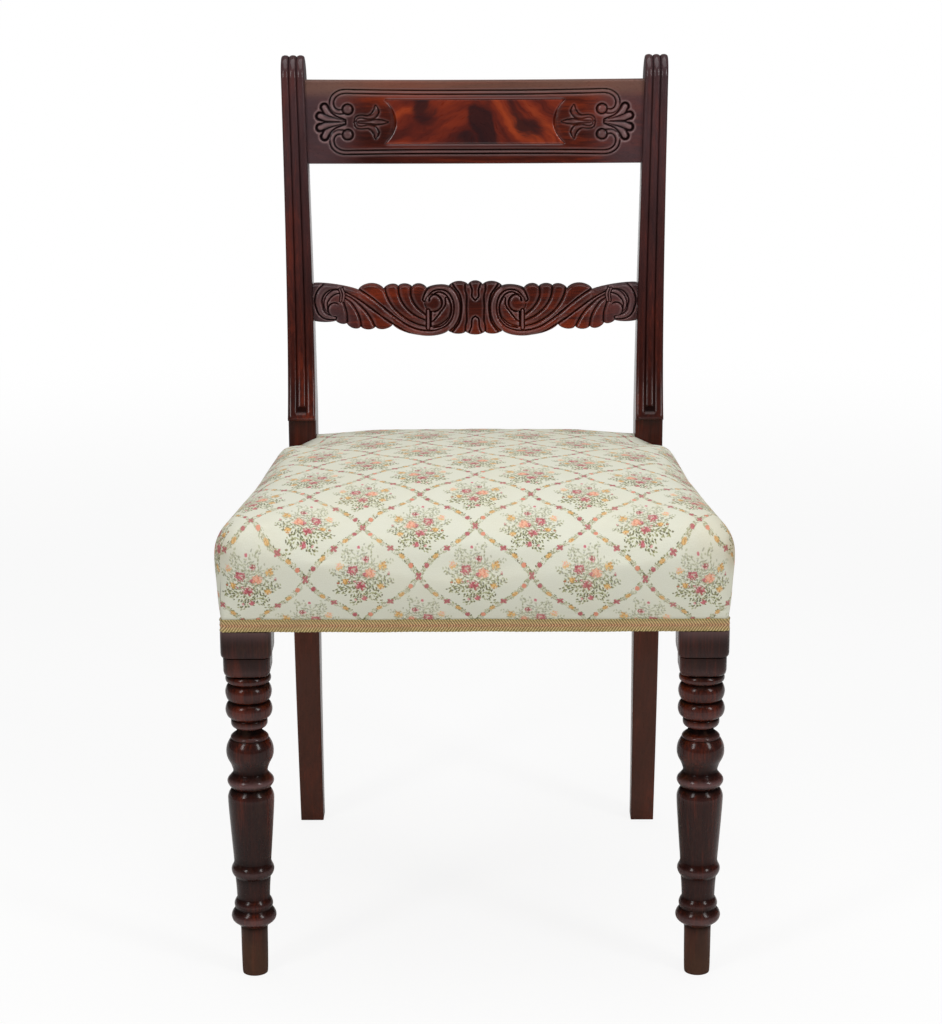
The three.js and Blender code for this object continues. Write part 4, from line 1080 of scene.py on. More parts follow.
# %% Seat frame
FRAME_FRONT, FRAME_REAR = -22.3, 410.0
SIDE_FRONT_X, SIDE_REAR_X = 236.5, 198.8
SIDE_SLOPE = (SIDE_FRONT_X - SIDE_REAR_X) / (POST_FRONT - FRAME_FRONT)


def side_outer(y):
    """Outer face of the side rail at a depth."""
    return SIDE_FRONT_X - (np.asarray(y, float) - FRAME_FRONT) * SIDE_SLOPE


print("seat frame", 2 * SIDE_FRONT_X, "by", FRAME_REAR - FRAME_FRONT, "mm")

# %% Run of a strap
WEB_HALF, WEB_THICK, WEB_RAIL_Z = 25.0, 1.5, 411.05
WEB_WEAVE, WEB_MIDDLE_Z = 0.9, 412.25
# how far from its ends a strap leaves the rails, and from a crossing it starts to bend
WEB_LANDING, WEB_PASSING = 22, 27


def strap_height(s, ends, crossings, first):
    """Height of a strap's middle along its run, over one strap and under the next."""
    places, heights = [ends[0], ends[0] + WEB_LANDING], [WEB_RAIL_Z, WEB_RAIL_Z]
    for i, crossing in enumerate(crossings):
        z = WEB_MIDDLE_Z + (first if i % 2 == 0 else -first) * WEB_WEAVE
        places += [crossing - WEB_PASSING, crossing + WEB_PASSING]
        heights += [z, z]
    places += [ends[1] - WEB_LANDING, ends[1]]
    heights += [WEB_RAIL_Z, WEB_RAIL_Z]
    return np.interp(s, places, heights)


# %% Webbing
ACROSS_PLACES, ALONG_PLACES = (-95.0, 0.0, 95.0), (75.0, 180.0, 285.0)
LENGTHWISE_ENDS, RAIL_MARGIN = (-18.3, 406.0), 4
SQUARENESS, WEB_BODY = 0.45, 0.8  # corners of the section, and thickness inside its edges
section_turns = np.linspace(0, 2 * math.pi, 24, endpoint=False)
section_side = np.sign(np.cos(section_turns)) * np.abs(np.cos(section_turns)) ** SQUARENESS
section_up = np.sign(np.sin(section_turns)) * np.abs(np.sin(section_turns)) ** SQUARENESS
selvedge = 1 + 0.25 * (np.abs(section_side) > 0.86)
for lengthwise in (True, False):
    own, others = (ACROSS_PLACES, ALONG_PLACES) if lengthwise else (ALONG_PLACES, ACROSS_PLACES)
    for i, place in enumerate(own):
        half = float(side_outer(place + WEB_HALF)) - RAIL_MARGIN
        ends = LENGTHWISE_ENDS if lengthwise else (-half, half)
        first = (1 if i % 2 else -1) * (1 if lengthwise else -1)
        s = np.linspace(*ends, 140)
        middle = softened(strap_height(s, ends, others, first)[:, None], 6)[:, 0]
        side = place + section_side[None, :] * WEB_HALF + 0 * s[:, None]
        up = middle[:, None] + section_up * selvedge * 0.5 * WEB_THICK * WEB_BODY
        run = s[:, None] + 0 * side
        points = (side, run, up) if lengthwise else (run, side, up)
        name = f"webbing_{'lengthwise' if lengthwise else 'crosswise'}_{i + 1}"
        mesh = tube(np.stack(points, axis=-1), name=name)
        new_piece(f"jute_{name}", mesh, jute_cloth, [name])

# %% Hessian
HESSIAN_Z, HESSIAN_INSET, HESSIAN_INNER = 414.9, 6.0, 160.0
NOTCH_X, NOTCH_Y = float(post_inner(NOSE_Z)) - FIT, POST_FRONT - FIT
NOTCH_ROWS = 92  # rows up to the posts
rows_y = np.concatenate([np.linspace(-16.3, NOTCH_Y, NOTCH_ROWS),
                         np.linspace(NOTCH_Y + 3, 404, 9)])
columns = np.concatenate([[-1], np.linspace(-1, 1, 101), [1]])
points = []
for y in rows_y:
    x = columns * HESSIAN_INNER
    x[0], x[-1] = -(side_outer(y) - HESSIAN_INSET), side_outer(y) - HESSIAN_INSET
    ripple = 0.12 * np.sin(x * 0.11) * np.sin(y * 0.09)
    points.append(np.stack([x, np.full(x.shape, y), HESSIAN_Z + ripple], axis=-1))
faces = np.array(skin_faces(len(rows_y), len(columns), closed=False))
behind = faces[:, 0] // len(columns) >= NOTCH_ROWS - 1
outside = np.isin(faces[:, 0] % len(columns), [0, len(columns) - 2])
mesh = new_mesh("hessian", np.concatenate(points), faces[~(behind & outside)].tolist())
tidy_mesh(mesh)
hessian = new_piece("hessian_sheet", mesh, jute_cloth, ["base_hessian"])
thick = hessian.modifiers.new("thickness", "SOLIDIFY")
thick.thickness, thick.offset = 0.0006, 0

# %% [markdown]
# The seat is stuffed over its rails: hair is built up and stitched, and the fabric is
# drawn over it and tacked along the foot. The skin starts as rings that follow the
# frame and bulge over it, closed by an even net on top. Then a cloth simulation blows
# it up against its own tension with the foot pinned, as the stuffing does, and how far
# it may move is capped, so that it stays the size that was measured.

# %% Seat skin
COVER_OFFSET = 1.7
SEAT_FRONT, SEAT_REAR = FRAME_FRONT - COVER_OFFSET, FRAME_REAR + COVER_OFFSET
SEAT_MIDDLE = (SEAT_FRONT + SEAT_REAR) / 2
COVER_FOOT, CROWN_Z = 354.5, 477.0
EDGE_BULGE, REAR_BULGE = 12.4, 0.6
FRONT_STEPS, ARC_STEPS, SIDE_STEPS, REAR_ARC_STEPS, REAR_STEPS = 28, 16, 38, 4, 34
SHARP_CORNER, ROUND_CORNER, REAR_CORNER = 4, 28, 6.0
# size of the outline, bulge, height share and corner rounding of each ring
SEAT_RINGS = [(1, 0, 0, 0), (1, 0, 0.05, 0), (1, 0.06, 0.104, 0.02), (1, 0.3, 0.216, 0.25),
              (1, 0.54, 0.339, 0.6), (1, 0.74, 0.453, 0.85), (1, 0.84, 0.567, 1),
              (1, 0.76, 0.66, 1), (1, 0.44, 0.745, 1), (0.998, 0, 0.805, 1),
              (0.972, 0, 0.845, 1), (0.93, 0, 0.87, 1)]


def seat_outline(size, bulge, rounding, grow=0.0):
    """Right half of a level ring of the seat, from the middle of the front to the rear."""
    front_radius, rear_radius = SHARP_CORNER + ROUND_CORNER * rounding, REAR_CORNER
    front = SEAT_MIDDLE + (SEAT_FRONT - SEAT_MIDDLE) * size - bulge * EDGE_BULGE - grow
    rear = SEAT_MIDDLE + (SEAT_REAR - SEAT_MIDDLE) * size + grow
    rear += bulge * EDGE_BULGE * REAR_BULGE

    def side(y):
        base = SEAT_MIDDLE + (y - SEAT_MIDDLE) / size
        back = np.clip((base - SEAT_FRONT) / (SEAT_REAR - SEAT_FRONT), 0, 1)
        push = bulge * EDGE_BULGE * (1 + (REAR_BULGE - 1) * back)
        return (side_outer(base) + COVER_OFFSET) * size + push + grow

    tilt = math.atan(SIDE_SLOPE)

    def arc(y, radius, start, end, steps):
        turns = np.linspace(start, end, steps + 1)
        x = float(side(y)) - radius / math.cos(tilt)
        return np.stack([x + radius * np.cos(turns), y + radius * np.sin(turns)], axis=-1)

    front_arc = arc(front + front_radius, front_radius, -math.pi / 2, tilt, ARC_STEPS)
    rear_arc = arc(rear - rear_radius, rear_radius, tilt, math.pi / 2, REAR_ARC_STEPS)
    along = np.linspace(0, 1, FRONT_STEPS + 1)[:-1, None]
    front_line = np.array([0, front]) * (1 - along) + front_arc[0] * along
    side_y = np.linspace(front_arc[-1, 1], rear_arc[0, 1], SIDE_STEPS + 1)[1:-1]
    side_line = np.stack([side(side_y), side_y], axis=-1)
    along = np.linspace(0, 1, REAR_STEPS + 1)[1:, None]
    rear_line = rear_arc[-1] * (1 - along) + np.array([0, rear]) * along
    return np.concatenate([front_line, front_arc, side_line, rear_arc, rear_line])


def whole_loop(half, z):
    """The half ring and its mirror image as one loop at a height."""
    loop = np.concatenate([half, half[-2:0:-1] * (-1, 1)])
    return np.concatenate([loop, np.full((len(loop), 1), z)], axis=1)


# %% Sitting in
REAR_FALL, SIDE_RISE, CORNER_FALL, FRONT_FALL = 11.0, 11.5, 10.0, 9.5
# start and length of each slope: towards the rear, at the rear corners, along the sides
# and over the front, measured outwards from the middle, backwards or upwards
REAR_SLOPE = 120, 280
CORNER_OUT, CORNER_BACK = (105, 60), (300, 65)
SIDE_OUT, SIDE_BACK = (165, 35), (290, 75)
NOSE_OUT, NOSE_UP = (110, 125), (416, 34)
NOSE_Y, NOSE_AHEAD, NOSE_BEHIND = 2, 34, 46


def sat_in(points):
    """Lets the seat fall at the back and along the middle of the front, where it is used."""
    x, y, z = np.moveaxis(points, -1, 0)
    out = np.abs(x)
    height = ramped(z, COVER_FOOT, CROWN_Z - COVER_FOOT)
    corner = ramped(out, *CORNER_OUT) * ramped(y, *CORNER_BACK)
    outward = ramped(out, *SIDE_OUT) * (1 - ramped(y, *SIDE_BACK) ** 2)
    fall = height ** 2 * gentle(ramped(y, *REAR_SLOPE)) * (REAR_FALL - SIDE_RISE * outward)
    fall = fall + CORNER_FALL * corner * height ** 5
    near = np.exp(-((y - NOSE_Y) / np.where(y < NOSE_Y, NOSE_AHEAD, NOSE_BEHIND)) ** 2)
    front = near * gentle(ramped(z, *NOSE_UP)) * gentle(1 - ramped(out, *NOSE_OUT))
    return points - (fall + FRONT_FALL * front)[..., None] * (0, 0, 1)


# %% Wall and top of the seat
def seat_ring(size, bulge, height, rounding):
    z = COVER_FOOT + (CROWN_Z - COVER_FOOT) * height
    return whole_loop(seat_outline(size, bulge, rounding), z)


def seat_wall(rings=30):
    """Rings from the foot of the seat over its bulge to the shoulder."""
    line = smooth_line(SEAT_RINGS, 6)
    in_millimetres = (200, 14, 122, 0)
    steps = np.linalg.norm(np.diff(line * in_millimetres, axis=0), axis=1)
    places = np.concatenate([[0], np.cumsum(steps)])
    even = np.linspace(0, places[-1], rings)
    profile = np.stack([np.interp(even, places, line[:, i]) for i in range(4)], axis=-1)
    return np.array([seat_ring(*row) for row in profile])


def seat_top(loop, rise):
    """An even net over the shoulder ring: its edges meet the ring point for point."""
    half = FRONT_STEPS + ARC_STEPS // 2
    deep = ARC_STEPS // 2 + SIDE_STEPS + REAR_ARC_STEPS // 2
    turned = np.roll(loop, half, axis=0)
    front, right = turned[:2 * half + 1], turned[2 * half:2 * half + deep + 1]
    rear = turned[2 * half + deep:4 * half + deep + 1][::-1]
    left = np.concatenate([turned[4 * half + deep:], turned[:1]])[::-1]
    u = np.linspace(0, 1, 2 * half + 1)[None, :, None]
    v = np.linspace(0, 1, deep + 1)[:, None, None]
    edges = (1 - v) * front[None] + v * rear[None]
    edges = edges + (1 - u) * left[:, None] + u * right[:, None]
    corners = ((1 - u) * (1 - v) * front[0] + u * (1 - v) * front[-1]
               + (1 - u) * v * rear[0] + u * v * rear[-1])
    net = edges - corners
    dome = (1 - np.abs(2 * u - 1) ** 2.3) * (1 - np.abs(2 * v - 1) ** 2.3)
    net[..., 2] += rise * dome[..., 0]
    return net


CROWN_START = 473.0  # the middle of the top before it is blown up
wall = seat_wall()
top = sat_in(seat_top(wall[-1], CROWN_START - wall[-1, 0, 2]))
wall = sat_in(wall)
loop_count = wall.shape[1]
print("seat rings", wall.shape, "top net", top.shape)

# %% [markdown]
# The fabric's figure is printed by the shader, so every point has to know where on the
# cloth it lies. On top that is simply across and along the seat. Down the front the
# cloth runs on by its own length, and down the sides the same the other way, which
# leaves a seam at each front corner, where the real cloth is folded into a pleat.

# %% Places on the cloth
CORNER_COLUMN = FRONT_STEPS + ARC_STEPS // 2
CORNER_PULL = 7.0
# how far down the wall the cloth's reading changes, and where its corners are pulled
TURN_DOWN, PULLED_OUT = 55, (95, 130)
half_count = loop_count // 2 + 1
column = np.arange(loop_count)
mirrored_column = np.where(column < half_count, column, loop_count - column)
on_left = np.where(column < half_count, 1, -1)
on_side = mirrored_column > CORNER_COLUMN + np.where(on_left > 0, 5, 0)
on_rear = mirrored_column > half_count - REAR_STEPS - REAR_ARC_STEPS // 2


def cloth_places(wall, top):
    """Front and side reading of the cloth at every point, in millimetres."""
    shoulder = wall[-1]
    steps = np.linalg.norm(np.diff(wall[::-1], axis=0), axis=2)
    down = np.concatenate([np.zeros((1, loop_count)), np.cumsum(steps, axis=0)])[::-1]
    lengths = np.linalg.norm(np.diff(wall[:, :half_count], axis=1), axis=2)
    arc = np.concatenate([np.zeros((len(wall), 1)), np.cumsum(lengths, axis=1)], axis=1)
    arc = arc[:, mirrored_column] * on_left
    away = gentle(ramped(down, 0, TURN_DOWN))
    front_u = wall[..., 0] + away * (arc - wall[..., 0])
    from_top = shoulder[:, 1] - down
    from_foot = shoulder[0, 1] - down[0, 0] + (down[0] - down)
    from_foot = from_foot + CORNER_PULL * gentle(ramped(np.abs(arc), *PULLED_OUT))
    front_v = from_top + away * (from_foot - from_top)
    side_u = shoulder[:, 0] + on_left * down
    side_v = wall[..., 1]
    rear_u, rear_v = wall[..., 0], shoulder[:, 1] + down
    side_u = np.where(on_rear, rear_u, side_u)
    side_v = np.where(on_rear, rear_v, side_v)
    side = np.broadcast_to(on_side, side_u.shape).astype(float)
    wall_front = np.stack([front_u, front_v, side], axis=-1).reshape(-1, 3)
    wall_side = np.stack([side_u, side_v, down], axis=-1).reshape(-1, 3)
    flat = top.reshape(-1, 3) * (1, 1, 0)
    return np.concatenate([wall_front, flat]), np.concatenate([wall_side, flat])


# %% Seat skin as one mesh
def seat_skin(wall, top, name):
    """Wall and top as one mesh with the cloth's places on it."""
    rows, columns = top.shape[:2]
    faces = skin_faces(len(wall), loop_count)
    net = np.array(skin_faces(rows, columns, closed=False)) + wall.shape[0] * loop_count
    front_marks, side_marks = cloth_places(wall, top)
    points = np.concatenate([wall.reshape(-1, 3), top.reshape(-1, 3)])
    marks = {"cloth_front": front_marks, "cloth_side": side_marks}
    mesh = new_mesh(name, points, faces + net.tolist(), marks)
    tidy_mesh(mesh, 2e-5)
    return mesh


def mesh_points(mesh, kind="co"):
    """The places of a mesh's points in metres, or another vector that they have."""
    flat = np.zeros(len(mesh.vertices) * 3, np.float32)
    mesh.vertices.foreach_get(kind, flat)
    return flat.reshape(-1, 3).astype(float)


def set_points(mesh, points):
    mesh.vertices.foreach_set("co", np.asarray(points, np.float32).ravel())
    mesh.update()


# %% Cloth simulation
def inflate(mesh, pinned, cap, frames=20):
    """Blows a skin up as cloth with its foot pinned, each point moving at most cap."""
    stand_in = bpy.data.objects.new("inflating", mesh)
    bpy.context.scene.collection.objects.link(stand_in)
    group = stand_in.vertex_groups.new(name="pinned")
    group.add(np.flatnonzero(pinned).tolist(), 1.0, "REPLACE")
    cloth = stand_in.modifiers.new("cloth", "CLOTH").settings
    cloth.vertex_group_mass = "pinned"
    cloth.use_pressure, cloth.uniform_pressure_force = True, 4.0
    cloth.effector_weights.gravity = 0.0
    cloth.tension_stiffness = cloth.compression_stiffness = 300.0
    cloth.shear_stiffness, cloth.bending_stiffness = 100.0, 20.0
    for step in range(1, frames + 1):
        bpy.context.scene.frame_set(step)
    evaluated = stand_in.evaluated_get(bpy.context.evaluated_depsgraph_get())
    blown = mesh_points(evaluated.data)
    bpy.data.objects.remove(stand_in)
    bpy.context.scene.frame_set(1)
    start = mesh_points(mesh)
    move = blown - start
    size = np.linalg.norm(move, axis=1, keepdims=True)
    move *= cap * np.tanh(size / cap) / np.maximum(size, 1e-9)
    print("cloth moved", round(float(size.max()) / MM, 1), "mm, kept within", cap / MM)
    return start + move


# where the sides start to be drawn in, backwards and upwards, and the room at a post
TUCK_BACK, TUCK_UP, TUCK_ROOM = (344, 26), (364, 14), 0.6


def drawn_to_posts(points):
    """Pulls the sides in where the cloth is tucked against the back posts."""
    x, y, z = (points / MM).T
    outer = post_centre(z) + post_width(z) / 2 + TUCK_ROOM
    drawn = gentle(ramped(y - LEG_AXIS_Y / MM, *TUCK_BACK)) * ramped(z, *TUCK_UP)
    inward = np.maximum(np.abs(x) - outer, 0) * drawn
    return points - np.stack([np.sign(x) * inward, 0 * x, 0 * x], axis=1) * MM


# %% Blow the seat up
PINNED_Z, SHRINK, SHRINK_HEIGHT, MOST_MOVE = 367.0 * MM, 1.0 * MM, 40 * MM, 6.0 * MM
skin = seat_skin(wall, top, "seat_skin")
points = mesh_points(skin)
height = ramped(points[:, 2], PINNED_Z, SHRINK_HEIGHT)
inward = mesh_points(skin, "normal") * (SHRINK * height[:, None])
set_points(skin, points - inward)
points = inflate(skin, points[:, 2] < PINNED_Z, MOST_MOVE)
set_points(skin, drawn_to_posts(points))


# %% [markdown]
# The blown skin serves twice. Drawn in a little and closed underneath, where it sits on
# the hessian and hangs beside the rails, it is the stuffing. As it is, it is the fabric.
# Both are cut away round the back posts, as an upholsterer cuts the cloth to pass them.
# A boolean cut would do, but flat cuts along known planes leave cleaner faces.

# %% Cut round the posts
def subdivided(mesh, levels):
    """The mesh with a subdivision surface applied."""
    holder = bpy.data.objects.new("smoothing", mesh)
    bpy.context.scene.collection.objects.link(holder)
    smoother = holder.modifiers.new("smooth", "SUBSURF")
    smoother.levels = smoother.render_levels = levels
    evaluated = holder.evaluated_get(bpy.context.evaluated_depsgraph_get())
    fine = bpy.data.meshes.new_from_object(evaluated)
    bpy.data.objects.remove(holder)
    return fine


NEAR_POSTS = 0.02  # faces this far in front of the posts are cut too, in metres


def notch_round_posts(mesh, close):
    """Takes out what stands where the posts are; closed pieces get new faces there."""
    work = bmesh.new()
    work.from_mesh(mesh)
    notch_y = NOTCH_Y * MM + LEG_AXIS_Y
    for plane in ((NOTCH_X * MM, 0, 0), (-NOTCH_X * MM, 0, 0), (0, notch_y, 0)):
        near = [f for f in work.faces if f.calc_center_median().y > notch_y - NEAR_POSTS]
        parts = {e for f in near for e in f.edges} | {v for f in near for v in f.verts}
        side = (1, 0, 0) if plane[0] else (0, 1, 0)
        bmesh.ops.bisect_plane(work, geom=[*near, *parts], dist=1e-6, plane_co=plane,
                               plane_no=side)
    gone = []
    for face in work.faces:
        middle = face.calc_center_median()
        if abs(middle.x) > NOTCH_X * MM and middle.y > notch_y:
            gone.append(face)
    bmesh.ops.delete(work, geom=gone, context="FACES")
    if close:
        rim = [e for e in work.edges if e.is_boundary]
        bmesh.ops.holes_fill(work, edges=rim, sides=0)
        bmesh.ops.recalc_face_normals(work, faces=work.faces)
    work.to_mesh(mesh)
    work.free()


# %% Shape of the stuffing
STUFFING_INSET, STUFFING_FOOT_Z = 2.0, 380
STEP_INSET, STEP_Z = 1.3, 415.9


def stuffing_mesh(skin):
    """The skin drawn in, closed by a step round the frame and a flat on the hessian."""
    drawn = mesh_points(skin) - mesh_points(skin, "normal") * (STUFFING_INSET * MM)
    body = skin.copy()
    set_points(body, drawn)
    work = bmesh.new()
    work.from_mesh(body)
    foot = [f for f in work.faces if f.calc_center_median().z < STUFFING_FOOT_Z * MM]
    bmesh.ops.delete(work, geom=foot, context="FACES")
    rim = [e for e in work.edges if e.is_boundary]
    lowest = {v for e in rim for v in e.verts}
    made = bmesh.ops.extrude_edge_only(work, edges=rim)
    ring = [v for v in made["geom"] if isinstance(v, bmesh.types.BMVert)]
    frame_loop = placed(whole_loop(seat_outline(1, 0, 0, -STEP_INSET), 0))[:, :2]
    for vert in ring:
        nearest = frame_loop[np.argmin(np.hypot(*(frame_loop - np.array(vert.co[:2])).T))]
        vert.co.x, vert.co.y = nearest
    risen = bmesh.ops.extrude_edge_only(
        work, edges=[e for e in made["geom"] if isinstance(e, bmesh.types.BMEdge)]
    )
    for vert in risen["geom"]:
        if isinstance(vert, bmesh.types.BMVert):
            vert.co.z = STEP_Z * MM
    rim = [e for e in work.edges if e.is_boundary]
    bmesh.ops.holes_fill(work, edges=rim, sides=0)
    print("stuffing foot", len(lowest), "points round")
    work.to_mesh(body)
    work.free()
    tidy_mesh(body, 1e-5)
    return body


# %% Stuffing
hair = Recipe("curled_hair", Specular_IOR_Level=0.2)
place = hair.node("ShaderNodeTexCoord", {}, (), "Object")
curl = hair.noise(place, 420, 4, 0.75)
strand = hair.noise(place, 1500, 2, 0.6)
colour = hair.mix(curl.rise(0.35, 0.65), rgba(36, 28, 22), rgba(98, 78, 56))
hair_fill = hair.finish(Base_Color=colour, Roughness=0.8 + strand * 0.15,
                        Normal=hair.bump(curl + strand * 0.5, 0.0015))
stuffing = stuffing_mesh(skin)
notch_round_posts(stuffing, close=True)
pad = new_piece("hair_stuffing", stuffing, hair_fill, ["seat_stuffing"])

# %% [markdown]
# The fabric is cream with a printed trellis. Its repeat is a diamond: p and q count
# half repeats along the two slopes, so whole even numbers are bouquets, whole odd
# numbers are the crossings, and the trellis runs where either is odd. Each bouquet is
# a list of flowers measured in the photograph, and the leaves are small ovals strewn
# in random cells. Every second bouquet is a mirror image.

# %% Colours of the print
CRIMSON, ROSE, PINK = rgba(166, 52, 70), rgba(204, 92, 112), rgba(228, 170, 172)
CORAL, PEACH = rgba(226, 134, 108), rgba(240, 178, 148)
OCHRE, HONEY = rgba(196, 136, 58), rgba(232, 182, 104)
OLIVE, DARK_LEAF, SAGE = rgba(124, 122, 70), rgba(90, 90, 54), rgba(166, 168, 122)
CREAM, SHADED_CREAM = rgba(226, 226, 211), rgba(211, 212, 193)

# %% Cloth places in the shader
REPEAT_HALF = 52.8
FIRST_BOUQUET = (0.8, -62.0)
SLOPE_LENGTH = REPEAT_HALF / math.sqrt(2)

fabric = Recipe("figured_cloth", Specular_IOR_Level=0.3, Sheen_Weight=0.12, Sheen_Roughness=0.4)
front_u, front_v, share = fabric.parts(fabric.mark("cloth_front", "Vector"))
side_u, side_v, fall = fabric.parts(fabric.mark("cloth_side", "Vector"))
on_side_cloth = share.over(0.5)
cloth_u = front_u + (side_u - front_u) * on_side_cloth
cloth_v = front_v + (side_v - front_v) * on_side_cloth
threads = fabric.noise(fabric.joined(cloth_u * 1.1, cloth_v * 1.1, 0), 1, 2, 0.6)
shake = (threads - 0.5) * 1.1
across = (cloth_u + shake - FIRST_BOUQUET[0]) / REPEAT_HALF
upward = (cloth_v - shake - FIRST_BOUQUET[1]) / REPEAT_HALF
p, q = across + upward, across - upward
whole_p, whole_q = (p / 2).maths("ROUND"), (q / 2).maths("ROUND")
p_in, q_in = p - whole_p * 2, q - whole_q * 2
odd_cell = abs(whole_p + whole_q).maths("MODULO", 2).over(0.5)
turn = 1 - odd_cell * 2
print("bouquets every", 2 * REPEAT_HALF, "mm, and others halfway between")

# %% Distances from the trellis
WAVE = 0.066  # how far the slopes swing, as a share of half a repeat
p_line = abs(p_in - (q_in * math.pi).maths("SINE") * WAVE)
q_line = abs(q_in - (p_in * math.pi).maths("SINE") * WAVE)
to_p, to_q = abs(1 - p_line) * SLOPE_LENGTH, abs(1 - q_line) * SLOPE_LENGTH
off = to_p.lesser(to_q)
along_p, along_q = abs(q_in) * SLOPE_LENGTH, abs(p_in) * SLOPE_LENGTH
near_p = to_p.under(to_q)
along = along_q + (along_p - along_q) * near_p
side_way = along + odd_cell * 1.3


def apart(x, y):
    """Distance from a middle, from the two distances to its axes."""
    return (x * x + y * y).maths("SQRT")


def spot(distance, radius, soft=0.35):
    """One inside a radius, nought outside it, with a thread or two between."""
    return 1 - distance.rise(radius - soft, radius + soft)


# %% Trellis
LEAF_STEP = 1.9
leaf_place = side_way.maths("PINGPONG", LEAF_STEP / 2) - LEAF_STEP / 4
leaf_number = (side_way / LEAF_STEP).maths("FLOOR") + whole_p * 17 + whole_q * 5
leaf_luck = fabric.node("ShaderNodeTexWhiteNoise", {"noise_dimensions": "1D"},
                        {"W": leaf_number})
leaf_off = off - 0.3 - leaf_luck * 1.5
trellis_leaf = spot(apart(leaf_place * 1.5 + leaf_off * 0.5, leaf_off), 0.62)
trellis_leaf = trellis_leaf * leaf_luck.over(0.3)
stem = spot(off, 0.35, 0.3) * (threads + leaf_luck * 0.3).over(0.56)


def four_petals(distance, first, second, radius):
    """A small star flower, its petals along the two axes that the angle is taken from."""
    petals = abs((first.maths("ARCTAN2", second) * 2).maths("COSINE"))
    return spot(distance / (0.42 + petals * 0.72) + shake * 1.3, radius)


middle_flower = four_petals(apart(off, along), off, along, 3.1)
crossing_flower = four_petals(apart(to_p, to_q), to_p, to_q, 3.4)
honey_bud = spot(apart(off, (along - 12.8) * 0.62) + shake * 0.9, 1.9)
honey_vine = spot(off + abs(along - 15) * 0.06, 1.1, 0.5) * threads.rise(0.42, 0.56)
rose_bud = spot(apart(off, along - 24.8) + shake * 0.7, 2.3)
crimson_side = (across / 2).maths("FRACT").over(0.5)

# %% Leaves of the bouquets
bouquet_x = (p_in + q_in) * (REPEAT_HALF / 2) * turn
bouquet_y = (p_in - q_in) * (REPEAT_HALF / 2)


def strewn_leaves(size, length, width, turning, seed):
    """Small ovals in random cells that point away from the bouquet's middle."""
    place = fabric.joined(bouquet_x / size + seed, bouquet_y / size + seed, 0)
    cells = fabric.node("ShaderNodeTexVoronoi", {"voronoi_dimensions": "2D"},
                        {"Vector": place, "Scale": 1.0}, "Position")
    cell_x, cell_y, _ = fabric.parts(cells)
    centre_x, centre_y = (cell_x - seed) * size, (cell_y - seed) * size
    luck, second_luck, _ = fabric.parts(cells.output("Color"))
    way = centre_y.maths("ARCTAN2", centre_x) + (luck - 0.5) * turning
    step_x, step_y = bouquet_x - centre_x, bouquet_y - centre_y
    cosine, sine = way.maths("COSINE"), way.maths("SINE")
    lengthwise = step_x * cosine + step_y * sine
    sideways = step_y * cosine - step_x * sine
    oval = apart(lengthwise / length, sideways / width)
    reach = apart(centre_x, centre_y * 0.96)
    lobes = (centre_y.maths("ARCTAN2", centre_x) * 8 + seed).maths("COSINE") * 4.2
    kept = second_luck.under(1.02 - ((reach + lobes) / 28.0) ** 4 * 0.9)
    by_trellis = off.under(2.9) * off.over(0.7) * second_luck.over(0.45)
    kept = kept.greater(by_trellis)
    return spot(oval, 1.0, 0.25) * kept, luck


dark_leaves, dark_luck = strewn_leaves(2.9, 1.5, 0.72, 2.6, 4.7)
pale_leaves, _ = strewn_leaves(2.7, 1.4, 0.7, 3.4, 11.3)
lower = 1 - (bouquet_y + 4).rise(-14, 18)

# %% Flowers of the bouquets
# across, up, radius, rim colour and heart colour, in millimetres from the middle
FLOWERS = [
    (-21.0, 10.7, 3.5, HONEY, PEACH), (19.2, 10.2, 4.0, OCHRE, HONEY),
    (17.6, -10.2, 3.2, OCHRE, HONEY), (-15.4, -4.2, 3.1, OCHRE, HONEY),
    (3.4, 16.2, 3.0, CRIMSON, PINK), (-3.2, 27.2, 1.6, ROSE, PINK),
    (2.2, -22.8, 2.7, CRIMSON, ROSE), (-6.0, -24.0, 1.5, ROSE, PINK),
    (-12.2, -5.2, 1.2, CRIMSON, ROSE), (-6.6, -5.0, 1.3, CRIMSON, PINK),
    (24.6, 3.0, 1.3, ROSE, CRIMSON), (-21.8, -6.0, 1.2, CRIMSON, OCHRE),
    (-8.8, 6.4, 4.9, CRIMSON, ROSE), (3.6, 1.6, 3.1, CRIMSON, ROSE),
    (7.6, 3.0, 4.8, CORAL, PEACH), (-1.3, -9.4, 4.8, CRIMSON, ROSE),
]
PETAL_RUFFLE = 1.7
petal_place = fabric.joined(bouquet_x * 0.62, bouquet_y * 0.62, odd_cell * 7)
petals = fabric.noise(petal_place, 1, 2, 0.6)
bouquet_place = fabric.joined(bouquet_x, bouquet_y, 0)
stitches = fabric.node("ShaderNodeTexVoronoi", {"voronoi_dimensions": "2D"},
                       {"Vector": bouquet_place, "Scale": 0.72}, "Color")
stitch_luck, stitch_tone, stitch_gap = fabric.parts(stitches)

